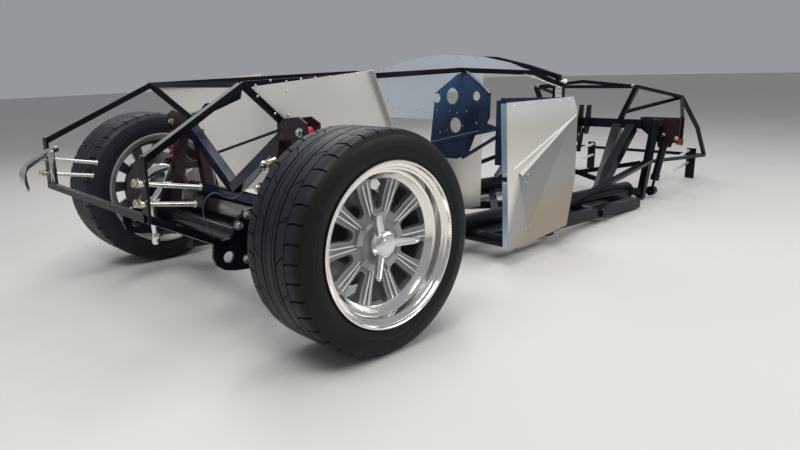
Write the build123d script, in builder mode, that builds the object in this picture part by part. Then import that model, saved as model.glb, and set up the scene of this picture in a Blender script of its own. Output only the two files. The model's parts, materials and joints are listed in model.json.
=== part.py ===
# Rolling roadster chassis, set down as it comes to rest: front wheels on, rear axle not yet fitted.
# Frame of the drawing: x forward from the front axle, y to the car's left, z up from the front tyres' foot.
from build123d import *
from math import acos, atan2, degrees, hypot
import os

# Wheels and track
track = 1435.0
tyre_radius = 318.0
tyre_half_width = 127.0
tyre_tread_half_width = 104.0
bead_radius = 216.0
flange_radius = 233.5
rim_half_width = 125.0
lip_depth = 60.0
spoke_face_radius = 181.0
spoke_count = 10
hub_radius = 66.0
wheel_bore = 34.0
disc_radius = 150.0
disc_thickness = 26.0

# Steering and front suspension, left side
lower_ball = Vector(6, 592, 205)
upper_ball = Vector(-14, 566, 432)
steering_arm_reach = 120.0
steering_arm_side = lower_ball.Y
stud_radius = 8.0
ball_housing_radius = 20.0
running_clearance = 0.06
side_clearance = 0.4
rod_eye_gap = 14.0
rack_height = 268.0
rack_radius = 13.0
tie_rod_radius = 8.0

# Frame tubes
rail_diameter = 101.6
rail_side = 330.0
ground_clearance = 105.0
rail_rear_end = -2330.0
rail_front_end = 40.0
thin_tube = 19.0
light_tube = 25.4
brace_tube = 38.1
heavy_tube = 50.8
sill_side = 490.0
footbox_side = 600.0
sheet = 2.0
steel_sheet = 4.8

rail_height = ground_clearance + rail_diameter / 2
sill_height = ground_clearance + heavy_tube / 2

# Rear heights that several pieces share
beam_height = 538.0
leg_head_height = beam_height + 28

# Frame joints of the left side, in the drawing's frame: name: (x, y, z)
joints = {
    "nose_top": (142, 330, 748),
    "jack_top": (494, 420, 555),
    "jack_foot": (494, 420, 400),
    "bracket_nose": (236, 352, 272),
    "tower_top": (-7, 330, 621),
    "rail_peak": (-845, 330, 808),
    "hinge_post_top": (-1120, 500, 799),
    "rail_end": (-1210, 570, 746),
    "hoop_end": (-1200, 572, 781),
    "hoop_shoulder": (-1200, 419, 825),
    "hoop_knee": (-1200, 240, 865),
    "hoop_crown": (-1200, 0, 880),
    "side_brace_foot": (-1262, 478, 160),
    "side_brace_knee": (-2340, 460, 341),
    "side_brace_head": (-2345, 472, beam_height + 22),
    "deck_post_foot": (-2360, 252, beam_height + 22),
    "deck_stay_foot": (-2360, 272, beam_height + 64),
    "hoop_corner": (-2360, 337, 745),
    "rear_crown": (-2360, 0, 776),
    "deck_corner": (-2790, 415, 684),
    "tail_knee": (-2998, 445, 491),
    "tail_foot": (-3132, 450, 312),
}


# Helpers for tubes, bars and plates
def joint_at(name, side=1):
    x, y, z = joints[name]
    return Vector(x, side * y, z)


def on_side(place, side):
    return Vector(place.X, side * place.Y, place.Z)


def square_tube(start, end, width, depth=None):
    run = end - start
    across = run.cross(Vector(0, 0, 1))
    if across.length < 1:
        across = Vector(0, 1, 0)
    with BuildSketch(Plane(start, x_dir=across, z_dir=run)) as section:
        Rectangle(width, depth or width)
    extrude(section.sketch, amount=run.length)


def bent_tube(points, width):
    run = points[1] - points[0]
    with BuildLine() as route:
        Polyline(*points)
    with BuildSketch(Plane(points[0], x_dir=run.cross(Vector(0, 0, 1)), z_dir=run)) as section:
        Rectangle(width, width)
    sweep(section.sketch, path=route.line, transition=Transition.RIGHT)


def rod(start, end, radius):
    run = end - start
    with BuildSketch(Plane(start, z_dir=run)) as section:
        Circle(radius)
    extrude(section.sketch, amount=run.length)


def block(low, high):
    size = [top - bottom for bottom, top in zip(low, high)]
    middle = Vector(*[(top + bottom) / 2 for bottom, top in zip(low, high)])
    with Locations(middle):
        Box(*size)


def plate_across(outline, x, thickness, mode=Mode.ADD):
    # A flat plate that faces forward: its outline is given as (y, z).
    with BuildSketch(Plane((x, 0, 0), x_dir=(0, 1, 0), z_dir=(1, 0, 0))) as face:
        Polygon(*outline, align=None)
    extrude(face.sketch, amount=thickness, mode=mode)


def plate_along(outline, y, thickness, mode=Mode.ADD):
    # A flat plate that faces the side: its outline is given as (x, z).
    with BuildSketch(Plane((0, y, 0), x_dir=(1, 0, 0), z_dir=(0, -1, 0))) as face:
        Polygon(*outline, align=None)
    extrude(face.sketch, amount=-thickness, mode=mode)


def hole_across(centre, radius, reach):
    # A round hole along x, cut both ways from its centre.
    with BuildSketch(Plane(centre, z_dir=(1, 0, 0))) as hole:
        Circle(radius)
    extrude(hole.sketch, amount=reach, both=True, mode=Mode.SUBTRACT)


def hole_along(centre, radius, reach):
    # A round hole along y, cut both ways from its centre.
    with BuildSketch(Plane(centre, z_dir=(0, 1, 0))) as hole:
        Circle(radius)
    extrude(hole.sketch, amount=reach, both=True, mode=Mode.SUBTRACT)


def cut_clear_of(*neighbours):
    for neighbour in neighbours:
        add(neighbour.part, mode=Mode.SUBTRACT)


pieces = {}


def keep(name, piece):
    pieces[name] = piece.part


def keep_pair(name, piece):
    pieces[f"{name}_left"] = piece.part
    pieces[f"{name}_right"] = mirror(piece.part, about=Plane.XZ)


sides = (1, -1)

# Main rails: two round tubes that run under the cockpit
with BuildPart() as main_rails:
    for side in sides:
        rail_start = Vector(rail_rear_end, side * rail_side, rail_height)
        rail_end = Vector(rail_front_end, side * rail_side, rail_height)
        rod(rail_start, rail_end, rail_diameter / 2)
keep("main_rails", main_rails)

# Front crossmember on the rails, with the lower arms' ears and the rack's side plates
beam_half_length = 70.0
beam_half_width = 358.0
beam_bottom = ground_clearance + rail_diameter
beam_top = 300.0
bracket_side = 346.0
bracket_thickness = 12.0
bracket_outline = [
    (70, 208), (150, 186), (212, 190), (248, 198), (272, 215), (282, 240), (278, 288), (222, 292),
    (205, 330), (172, 372), (120, 380), (70, 340),
]
bracket_bore = Vector(232, 352, 236)
bracket_bore_radius = 18.0
rack_reach = lower_ball.X + steering_arm_reach
rack_housing_radius = 24.0
lower_pivot_side = 398.0
lower_pivot_height = 190.0
lower_pivot_reach = 115.0
pivot_bolt_radius = 7.0
bush_radius = 17.0
bush_half_length = 24.0
ear_thickness = 6.0
ear_half_height = 20.0

with BuildPart() as front_crossmember:
    block((-beam_half_length, -beam_half_width, beam_bottom), (beam_half_length, beam_half_width, beam_top))
    for side in sides:
        plate_along(bracket_outline, side * bracket_side, side * bracket_thickness)
        for end in (1, -1):
            pivot_x = end * lower_pivot_reach
            for face in (1, -1):
                ear_x = pivot_x + face * (bush_half_length + side_clearance + ear_thickness / 2)
                with Locations((ear_x, side * (lower_pivot_side + bracket_side) / 2, lower_pivot_height)):
                    Box(ear_thickness, lower_pivot_side + ear_half_height - bracket_side, 2 * ear_half_height)
            bolt_half = bush_half_length + ear_thickness + 8
            rod(Vector(pivot_x - bolt_half, side * lower_pivot_side, lower_pivot_height),
                Vector(pivot_x + bolt_half, side * lower_pivot_side, lower_pivot_height), pivot_bolt_radius)
        hole_along((rack_reach, side * bracket_side, rack_height), rack_housing_radius, 30)
        hole_along((bracket_bore.X, side * bracket_side, bracket_bore.Z), bracket_bore_radius, 30)
    cut_clear_of(main_rails)
keep("front_crossmember", front_crossmember)

# Front towers: two posts and two plates each, which carry the damper's top eye
tower_side = 345.0
tower_foot_reach = 78.0
tower_plate_gap = 42.0
tower_plate_x = -7.0
upper_pivot_side = 378.0
upper_pivot_height = 438.0
upper_pivot_reach = 104.0
damper_top_side = 445.0
damper_top_height = 605.0
tower_outline = [
    (tower_side - 23, damper_top_height - 49), (tower_side + 23, damper_top_height - 57),
    (damper_top_side + 35, damper_top_height - 33), (damper_top_side + 35, damper_top_height + 29),
    (damper_top_side - 7, damper_top_height + 47), (tower_side - 23, damper_top_height + 35),
]
eye_bolt_radius = 6.0
bolt_clearance = 0.3

with BuildPart() as tower:
    for end in (1, -1):
        foot = Vector(end * tower_foot_reach, tower_side, beam_top)
        head = Vector(tower_plate_x + end * 30, tower_side, damper_top_height - 30)
        square_tube(foot, head, brace_tube)
    for end in (1, -1):
        plate_face = tower_plate_x + end * tower_plate_gap / 2
        plate_across(tower_outline, plate_face, end * ear_thickness)
    block((-62, tower_side, upper_pivot_height - 14), (48, upper_pivot_side - 2, upper_pivot_height + 14))
    bar_reach = upper_pivot_reach + bush_half_length + 10
    rod(Vector(-bar_reach, upper_pivot_side, upper_pivot_height),
        Vector(bar_reach, upper_pivot_side, upper_pivot_height), pivot_bolt_radius)
    hole_across((tower_plate_x, damper_top_side, damper_top_height), eye_bolt_radius + bolt_clearance, 60)
    block((-90, tower_side - 30, beam_top - 10), (90, tower_side + 30, beam_top))
    cut_clear_of(front_crossmember)
keep_pair("tower", tower)
towers = (tower.part, mirror(tower.part, about=Plane.XZ))


def cut_towers():
    for one in towers:
        add(one, mode=Mode.SUBTRACT)


# Cross tube and V brace between the towers
cross_tube_height = 352.0
v_apex = Vector(0, 0, 384)
v_head_height = damper_top_height - 9

with BuildPart() as v_brace:
    rod(Vector(0, -tower_side, cross_tube_height), Vector(0, tower_side, cross_tube_height), heavy_tube / 2)
    for side in sides:
        square_tube(v_apex, Vector(tower_plate_x, side * tower_side, v_head_height), brace_tube)
    cut_towers()
keep("v_brace", v_brace)

# Nose frame ahead of the axle
jack_bar_width = 38.0
jack_bar_thickness = 8.0
# Only the left side has a gusset under its nose tube
gusset_side = 328.0
gusset_thickness = 4.0
gusset_outline = [(142, 742), (300, 668), (292, 650), (150, 706)]

with BuildPart() as nose_frame:
    for side in sides:
        square_tube(joint_at("nose_top", side), joint_at("jack_top", side), thin_tube)
        square_tube(joint_at("nose_top", side), joint_at("tower_top", side), thin_tube)
        square_tube(joint_at("jack_foot", side), joint_at("bracket_nose", side), thin_tube)
        jack_top = joint_at("jack_top", side)
        jack_foot = joint_at("jack_foot", side)
        square_tube(jack_foot - (0, 0, 12), jack_top + (0, 0, 12), jack_bar_width, jack_bar_thickness)
    plate_along(gusset_outline, gusset_side, gusset_thickness)
    square_tube(joint_at("nose_top", -1), joint_at("nose_top"), thin_tube)
    square_tube(joint_at("jack_foot", -1), joint_at("jack_foot"), thin_tube)
    cut_towers()
    cut_clear_of(front_crossmember)
keep("nose_frame", nose_frame)

# Top rails from the nose to the door posts
with BuildPart() as top_rails:
    for side in sides:
        bent_tube([joint_at(name, side) for name in ("nose_top", "rail_peak", "hinge_post_top", "rail_end")],
                  thin_tube)
    cut_clear_of(nose_frame)
keep("top_rails", top_rails)

# Cockpit floor: outer sills on short cross tubes, and an X between the rails
sill_front_end = -1000.0
sill_rear_end = -2140.0
outrigger_stations = (-890.0, -1300.0, -1740.0, -2110.0)
x_member_front = -1120.0
x_member_rear = -1920.0
floor_cross_stations = (-1000.0, -2040.0)

with BuildPart() as outriggers:
    for side in sides:
        for station, reach_out in zip(outrigger_stations, (footbox_side, 530.0, 530.0, sill_side)):
            rod(Vector(station, side * rail_side, sill_height),
                Vector(station, side * reach_out, sill_height), heavy_tube / 2)
        square_tube(Vector(sill_rear_end, side * sill_side, sill_height),
                    Vector(sill_front_end, side * sill_side, sill_height), heavy_tube)
        square_tube(Vector(sill_front_end, side * sill_side, sill_height),
                    Vector(outrigger_stations[0], side * 440, sill_height), heavy_tube)
    cut_clear_of(main_rails)
keep("outriggers", outriggers)

with BuildPart() as floor_cross_member:
    for side in sides:
        square_tube(Vector(x_member_front, side * rail_side, sill_height),
                    Vector(x_member_rear, -side * rail_side, sill_height), brace_tube)
    for station in floor_cross_stations:
        station_end = Vector(station, rail_side, sill_height)
        square_tube(on_side(station_end, -1), station_end, heavy_tube)
    cut_clear_of(main_rails)
keep("floor_cross_member", floor_cross_member)

# Cockpit sides: the door posts that stand out from the sills to the top rails' ends
door_post_top = 746.0
door_post_x = -1235.0
door_post_side = 545.0

with BuildPart() as cockpit_sides:
    for side in sides:
        post_foot = Vector(door_post_x, side * door_post_side, sill_height - 10)
        square_tube(post_foot, Vector(door_post_x, side * door_post_side, door_post_top), brace_tube)
        square_tube(Vector(door_post_x, side * sill_side, sill_height), post_foot, heavy_tube)
    cut_clear_of(outriggers, top_rails)
keep("cockpit_sides", cockpit_sides)

# Dash hoop behind the firewall's arch, on short stubs over the top rails' ends
stub_height = 752.0

with BuildPart() as dash_hoop:
    left_half = [joint_at(name) for name in ("hoop_end", "hoop_shoulder", "hoop_knee", "hoop_crown")]
    right_half = [joint_at(name, -1) for name in ("hoop_knee", "hoop_shoulder", "hoop_end")]
    bent_tube(left_half + right_half, thin_tube)
    for side in sides:
        stub_head = joint_at("hoop_end", side) - (0, side * 8, 0)
        square_tube(Vector(stub_head.X, stub_head.Y, stub_height), stub_head, thin_tube)
    cut_clear_of(top_rails, cockpit_sides)
keep("dash_hoop", dash_hoop)

# Rear axle frame: leaning legs, the heavy upper beam, twin stays, side braces and an X across the car
leg_x = -2370.0
leg_side = 459.0
leg_lean = 55.0
leg_foot_height = 112.0
beam_half_span = 389.0
rear_beam_x = -2362.0
beam_end_thickness = 12.0
beam_end_half_height = 20.0
stay_foot = Vector(-2000, 338, 190)
stay_head_sides = (241.0, 329.0)
x_low = Vector(-2352, 392, 140)
x_high = Vector(-2352, -392, 318)
link_plate_sides = (20.0, 70.0)
link_plate_outline = [
    (-2336, beam_height + 102), (-2296, beam_height + 102), (-2270, beam_height - 18),
    (-2280, beam_height - 68), (-2316, beam_height - 68), (-2336, beam_height - 18),
]
link_head = Vector(-2298, 45, beam_height - 38)
link_foot = link_head + (30, 0, -135)
link_radius = 13.0
link_bolt_radius = 7.0


def leg_side_at(height):
    rise = (height - leg_foot_height) / (leg_head_height - leg_foot_height)
    return leg_side - leg_lean * (1 - rise)


with BuildPart() as rear_axle_frame:
    beam_end = Vector(rear_beam_x, beam_half_span, beam_height)
    square_tube(on_side(beam_end, -1), beam_end, heavy_tube)
    for side in sides:
        leg_foot = Vector(leg_x, side * leg_side_at(leg_foot_height), leg_foot_height)
        leg_head = Vector(leg_x, side * leg_side, leg_head_height)
        square_tube(leg_foot, leg_head, brace_tube)
        square_tube(Vector(rear_beam_x, side * (beam_half_span - 10), beam_height),
                    Vector(rear_beam_x, side * leg_side_at(beam_height), beam_height),
                    beam_end_thickness, 2 * beam_end_half_height)
        for head_side in stay_head_sides:
            square_tube(Vector(stay_foot.X, side * stay_foot.Y, stay_foot.Z),
                        Vector(rear_beam_x + 10, side * head_side, beam_height - 20), heavy_tube)
        square_tube(on_side(x_low, side), on_side(x_high, side), light_tube)
        square_tube(Vector(rail_rear_end + 30, side * rail_side, rail_height),
                    Vector(leg_x + 15, side * leg_side_at(rail_height), rail_height), brace_tube)
        bent_tube([joint_at(name, side) for name in
                   ("side_brace_head", "side_brace_knee", "side_brace_foot")], light_tube)
    for plate_side in link_plate_sides:
        plate_along(link_plate_outline, plate_side, ear_thickness)
    rod(Vector(link_head.X, link_plate_sides[0], link_head.Z),
        Vector(link_head.X, link_plate_sides[1], link_head.Z), link_bolt_radius)
    rod(link_head, link_foot, link_radius)
    cut_clear_of(main_rails, outriggers, cockpit_sides)
keep("rear_axle_frame", rear_axle_frame)

# Deck hoop over the rear beam: a straight tube and an arched one on two slanted posts
with BuildPart() as deck_hoop:
    bent_tube([joint_at("hoop_corner"), joint_at("rear_crown"), joint_at("hoop_corner", -1)], thin_tube)
    square_tube(joint_at("hoop_corner", -1), joint_at("hoop_corner"), thin_tube)
    for side in sides:
        square_tube(joint_at("deck_post_foot", side), joint_at("hoop_corner", side), light_tube)
    cut_clear_of(rear_axle_frame)
keep("deck_hoop", deck_hoop)

# Rear damper plates, outboard of the legs
rear_plate_x = -2462.0
rear_plate_gap = 42.0
rear_plate_top = leg_head_height + 8
rear_plate_reach = leg_side + 110
rear_plate_outline = [
    (leg_side - 122, rear_plate_top), (rear_plate_reach, rear_plate_top),
    (rear_plate_reach, rear_plate_top - 122),
    (leg_side + 86, rear_plate_top - 138), (leg_side + 54, rear_plate_top - 142),
    (leg_side + 46, rear_plate_top - 168), (leg_side - 6, rear_plate_top - 168),
    (leg_side - 14, rear_plate_top - 138), (leg_side - 122, rear_plate_top - 62),
]
rear_eye_side = leg_side + 25
rear_eye_height = rear_plate_top - 104
plate_tie_height = rear_plate_top - 29

# Tail frame behind the axle, down to the rear jack bars
tail_stay_height = 322.0
tail_stay_inset = 22.0

with BuildPart() as tail_frame:
    for side in sides:
        bent_tube([joint_at(name, side) for name in
                   ("hoop_corner", "deck_corner", "tail_knee", "tail_foot")], thin_tube)
        deck_corner = joint_at("deck_corner", side)
        square_tube(joint_at("deck_stay_foot", side), deck_corner, thin_tube)
        square_tube(Vector(rear_plate_x - rear_plate_gap / 2, side * (rear_plate_reach - 12), rear_plate_top),
                    deck_corner, thin_tube)
        stay_side = leg_side_at(tail_stay_height) - tail_stay_inset
        square_tube(Vector(leg_x, side * stay_side, tail_stay_height), joint_at("tail_foot", side), thin_tube)
    square_tube(joint_at("tail_foot", -1), joint_at("tail_foot"), thin_tube)
    cut_clear_of(deck_hoop, rear_axle_frame)
keep("tail_frame", tail_frame)

with BuildPart() as rear_damper_plates:
    for side in sides:
        for end in (1, -1):
            outline = [(side * y, z) for y, z in rear_plate_outline]
            plate_across(outline, rear_plate_x + end * rear_plate_gap / 2, end * ear_thickness)
        square_tube(Vector(rear_plate_x - rear_plate_gap / 2, side * leg_side, plate_tie_height),
                    Vector(leg_x, side * leg_side, plate_tie_height), brace_tube)
        rod(Vector(rear_plate_x - 40, side * rear_eye_side, rear_eye_height),
            Vector(rear_plate_x + 40, side * rear_eye_side, rear_eye_height), eye_bolt_radius)
    cut_clear_of(rear_axle_frame, tail_frame)
keep("rear_damper_plates", rear_damper_plates)

# Coil-overs in front, plain dampers at the back
eye_radius = 15.0
eye_half_length = 19.0
damper_body_radius = 24.0
damper_rod_radius = 8.0
spring_radius = 31.0
spring_core_radius = 27.0
spring_turns = 8
spring_length = 200.0
spring_start = 56.0
damper_foot_gap = 34.0


def coil_over(top, bottom):
    # Two eyes, a damper body, its rod and the spring as a stack of rings about them
    along = (bottom - top).normalized()
    length = (bottom - top).length
    for eye in (top, bottom):
        rod(eye - (eye_half_length, 0, 0), eye + (eye_half_length, 0, 0), eye_radius)
    rod(top, bottom, damper_rod_radius)
    rod(top + along * (length * 0.55), bottom - along * damper_foot_gap, damper_body_radius)
    pitch = spring_length / spring_turns
    for turn in range(spring_turns):
        ring = top + along * (spring_start + turn * pitch)
        rod(ring, ring + along * pitch * 0.55, spring_radius)
        rod(ring + along * pitch * 0.5, ring + along * pitch * 1.05, spring_core_radius)
    for eye in (top, bottom):
        hole_across(eye, eye_bolt_radius + bolt_clearance, 40)


front_damper_foot = Vector(tower_plate_x, 512, 224)

with BuildPart() as front_coil_overs:
    for side in sides:
        coil_over(Vector(tower_plate_x, side * damper_top_side, damper_top_height),
                  Vector(front_damper_foot.X, side * front_damper_foot.Y, front_damper_foot.Z))
keep("front_coil_overs", front_coil_overs)

rear_damper_foot = Vector(rear_plate_x, rear_eye_side - 59, 150)
rear_body_radius = 21.0
rear_band_radius = 25.0
rear_foot_radius = 27.0
rear_body_start = 44.0
rear_body_length = 214.0
rear_band_length = 30.0

with BuildPart() as rear_dampers:
    for side in sides:
        top = Vector(rear_plate_x, side * rear_eye_side, rear_eye_height)
        bottom = Vector(rear_damper_foot.X, side * rear_damper_foot.Y, rear_damper_foot.Z)
        along = (bottom - top).normalized()
        body_start = top + along * rear_body_start
        body_end = body_start + along * rear_body_length
        rod(top - (eye_half_length, 0, 0), top + (eye_half_length, 0, 0), eye_radius)
        rod(bottom - (eye_half_length, 0, 0), bottom + (eye_half_length, 0, 0), rear_foot_radius)
        rod(top, bottom, damper_rod_radius)
        rod(body_start, body_end, rear_body_radius)
        rod(body_end - along * rear_band_length, body_end, rear_band_radius)
        for eye in (top, bottom):
            hole_across(eye, eye_bolt_radius + bolt_clearance, 40)
keep("rear_dampers", rear_dampers)

# Front arms, and their ball joints on the steering axis
steer_axis = (upper_ball - lower_ball).normalized()
axis_length = (upper_ball - lower_ball).length
boss_length = 26.0
boss_start = 14.0
arm_leg_radius = 10.0
damper_seat_height = front_damper_foot.Z - eye_radius


def on_axis(distance):
    return lower_ball + steer_axis * distance


with BuildPart() as upper_arm:
    housing_foot = on_axis(axis_length - boss_start + side_clearance)
    rod(housing_foot, housing_foot + steer_axis * 26, ball_housing_radius)
    rod(on_axis(axis_length - boss_start - boss_length + 4), housing_foot + steer_axis, stud_radius)
    for end in (1, -1):
        pivot = Vector(end * upper_pivot_reach, upper_pivot_side, upper_pivot_height)
        rod(pivot - (bush_half_length, 0, 0), pivot + (bush_half_length, 0, 0), bush_radius)
        rod(pivot + (0, 8, 0), housing_foot + steer_axis * 13, arm_leg_radius)
        hole_across(pivot, pivot_bolt_radius + bolt_clearance, 60)
keep_pair("upper_arm", upper_arm)

with BuildPart() as lower_arm:
    housing_head = on_axis(boss_start - side_clearance)
    rod(housing_head - steer_axis * 32, housing_head, ball_housing_radius)
    rod(housing_head - steer_axis, on_axis(boss_start + boss_length - 4), stud_radius)
    for end in (1, -1):
        pivot = Vector(end * lower_pivot_reach, lower_pivot_side, lower_pivot_height)
        rod(pivot - (bush_half_length, 0, 0), pivot + (bush_half_length, 0, 0), bush_radius)
        rod(pivot + (0, 8, 0), housing_head - steer_axis * 18, arm_leg_radius)
        hole_across(pivot, pivot_bolt_radius + bolt_clearance, 60)
    block((-48, 484, damper_seat_height - 14), (34, 540, damper_seat_height))
    for end in (1, -1):
        ear_x = tower_plate_x + end * (eye_half_length + side_clearance + ear_thickness / 2)
        with Locations((ear_x, front_damper_foot.Y, damper_seat_height + 12)):
            Box(ear_thickness, 40, 34)
    rod(front_damper_foot - (34, 0, 0), front_damper_foot + (34, 0, 0), eye_bolt_radius)
keep_pair("lower_arm", lower_arm)

# Steering rack: a housing between the bracket plates, and the bar with its tie rods
tie_rod_start = 420.0
rod_end_radius = 15.0
arm_thickness = 16.0
arm_top = rack_height - rod_end_radius - rod_eye_gap
rod_end_side = steering_arm_side

with BuildPart() as rack_housing:
    housing_end = bracket_side + 20
    rod(Vector(rack_reach, -housing_end, rack_height), Vector(rack_reach, housing_end, rack_height),
        rack_housing_radius)
    rod(Vector(rack_reach, 190, rack_height), Vector(rack_reach - 46, 190, rack_height + 40), 22)
    with BuildSketch(Plane((rack_reach, 0, rack_height), z_dir=(0, 1, 0))):
        Circle(rack_radius + running_clearance)
    extrude(amount=420, both=True, mode=Mode.SUBTRACT)
    cut_clear_of(front_crossmember)
keep("rack_housing", rack_housing)

with BuildPart() as rack_bar:
    rod(Vector(rack_reach, -tie_rod_start - 30, rack_height),
        Vector(rack_reach, tie_rod_start + 30, rack_height),
        rack_radius)
    for side in sides:
        rod(Vector(rack_reach, side * (tie_rod_start + 20), rack_height),
            Vector(rack_reach, side * rod_end_side, rack_height), tie_rod_radius)
        rod(Vector(rack_reach, side * rod_end_side, rack_height - rod_end_radius),
            Vector(rack_reach, side * rod_end_side, rack_height + 14), rod_end_radius)
keep("rack_bar", rack_bar)

# Wheels, left side, turned about the axle line
axle_y = track / 2
disc_inner_face = axle_y - 77.5
hat_radius = 86.0
spoke_face = rim_half_width - lip_depth
spoke_back = spoke_face - 22
wheel_plane = Plane((0, axle_y, tyre_radius), x_dir=(0, 1, 0), z_dir=(1, 0, 0))
axle_line = Axis((0, 0, tyre_radius), (0, 1, 0))

with BuildPart() as tyre:
    with BuildSketch(wheel_plane):
        with BuildLine():
            shoulder = (tyre_tread_half_width, tyre_radius - 1.5)
            wall = (tyre_half_width, 268)
            Polyline((0, bead_radius), (112, bead_radius), (117, flange_radius), (117, flange_radius + 3))
            ThreePointArc((117, flange_radius + 3), (tyre_half_width - 2, 250), wall)
            ThreePointArc(wall, (tyre_half_width - 3.5, 296), shoulder)
            Polyline(shoulder, (60, tyre_radius), (0, tyre_radius), (0, bead_radius))
        make_face()
        mirror(about=Plane.YZ)
    revolve(axis=axle_line)
keep_pair("tyre", tyre)

# Rim section as (across, radius), from the inner flange over the barrel and back along the inside
rim_outline = [
    (-rim_half_width, flange_radius), (-117, flange_radius), (-112, bead_radius), (-70, bead_radius),
    (-55, 194), (25, 194), (50, bead_radius), (112, bead_radius), (117, flange_radius),
    (rim_half_width, flange_radius), (rim_half_width, 227), (112, 214), (108, 206), (84, 203), (80, 196),
    (spoke_face, spoke_face_radius), (spoke_face - 8, 150), (spoke_face - 8, 70), (spoke_face + 6, 62),
    (spoke_face + 6, wheel_bore / 2 + running_clearance), (28, wheel_bore / 2 + running_clearance),
    (28, hub_radius), (spoke_back - 6, 90), (spoke_back - 6, 160), (25, 186), (-55, 186), (-70, 208),
    (-112, 208), (-rim_half_width, 226),
]
window_inner_radius = 96.0
window_outer_radius = 177.0
window_inner_width = 24.0
window_outer_width = 62.0

with BuildPart() as rim:
    with BuildSketch(wheel_plane):
        Polygon(*rim_outline, align=None)
    revolve(axis=axle_line)
    with BuildSketch(Plane((0, axle_y, tyre_radius), x_dir=(1, 0, 0), z_dir=(0, 1, 0))) as windows:
        with PolarLocations(0, spoke_count, start_angle=360 / spoke_count / 2):
            Polygon((window_inner_radius, -window_inner_width / 2),
                    (window_outer_radius, -window_outer_width / 2),
                    (window_outer_radius, window_outer_width / 2),
                    (window_inner_radius, window_inner_width / 2), align=None)
    extrude(amount=rim_half_width, mode=Mode.SUBTRACT)
keep_pair("rim", rim)

with BuildPart() as brake_disc:
    bore = wheel_bore / 2 + running_clearance
    with BuildSketch(wheel_plane):
        inner = disc_inner_face - axle_y
        outer = inner + disc_thickness
        Polygon((inner, 84), (inner, disc_radius), (outer, disc_radius), (outer, hat_radius),
                (28, hat_radius), (28, bore), (20, bore), (20, 78), (outer - 6, 78), (outer - 6, 84),
                align=None)
    revolve(axis=axle_line)
keep_pair("brake_disc", brake_disc)

# Three-eared wheel nut over the hub
spindle_end = axle_y + spoke_face + 4
nut_base = spoke_face + 6
nut_radius = 36.0
ear_reach = 106.0
ear_root = 17.0
ear_tip = 10.0
ear_deep = 14.0

with BuildPart() as wheel_nut:
    with BuildSketch(wheel_plane):
        Polygon((nut_base, 0), (nut_base, nut_radius + 8), (nut_base + 10, nut_radius + 6),
                (nut_base + 26, nut_radius),
                (nut_base + 34, 26), (nut_base + 36, 18), (nut_base + 36, 0), align=None)
    revolve(axis=axle_line)
    with BuildSketch(Plane((0, axle_y + nut_base + 8, tyre_radius), x_dir=(1, 0, 0), z_dir=(0, 1, 0))):
        with PolarLocations(0, 3, start_angle=180):
            Polygon((10, -ear_root), (70, -ear_root * 0.6), (ear_reach - ear_tip, -ear_tip), (ear_reach, 0),
                    (ear_reach - ear_tip, ear_tip), (70, ear_root * 0.6), (10, ear_root), align=None)
    extrude(amount=ear_deep)
keep_pair("wheel_nut", wheel_nut)

# Knuckle: bosses on the steering axis, upright, spindle and steering arm
hub_face = disc_inner_face - 14
with BuildPart() as knuckle:
    rod(on_axis(boss_start), on_axis(axis_length - boss_start), 21)
    rod(Vector(0, lower_ball.Y - 24, tyre_radius), Vector(0, hub_face, tyre_radius), 44)
    rod(Vector(0, hub_face - 5, tyre_radius), Vector(0, spindle_end, tyre_radius), wheel_bore / 2)
    with BuildSketch(Plane((0, 0, arm_top - arm_thickness))):
        Polygon((lower_ball.X - 10, lower_ball.Y - 18), (rack_reach, steering_arm_side - rod_end_radius),
                (rack_reach + rod_end_radius, steering_arm_side),
                (rack_reach, steering_arm_side + rod_end_radius),
                (lower_ball.X - 10, lower_ball.Y + 16), align=None)
    extrude(amount=arm_thickness)
    rod(Vector(0, hub_face - 22, tyre_radius), Vector(-128, hub_face - 22, tyre_radius + 66), 12)
    for end in (boss_start - 2, axis_length - boss_start - boss_length):
        with BuildSketch(Plane(on_axis(end), z_dir=steer_axis)):
            Circle(stud_radius + running_clearance)
        extrude(amount=boss_length + 2, mode=Mode.SUBTRACT)
keep_pair("knuckle", knuckle)

# Caliper over the rear edge of the disc
caliper_gap = 5.0
with BuildPart() as caliper:
    with BuildSketch(Plane((0, hub_face - 30, tyre_radius), x_dir=(-1, 0, 0), z_dir=(0, 1, 0))):
        Polygon((100, 8), (160, 10), (170, 45), (152, 90), (122, 118), (92, 80), align=None)
    extrude(amount=78)
    with BuildSketch(Plane((0, disc_inner_face - caliper_gap, tyre_radius), z_dir=(0, 1, 0))):
        Circle(disc_radius + caliper_gap)
    extrude(amount=disc_thickness + 2 * caliper_gap, mode=Mode.SUBTRACT)
    with BuildSketch(Plane((0, disc_inner_face + disc_thickness, tyre_radius), z_dir=(0, 1, 0))):
        Circle(hat_radius + caliper_gap)
    extrude(amount=100, mode=Mode.SUBTRACT)
    cut_clear_of(knuckle)
keep_pair("caliper", caliper)

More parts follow.
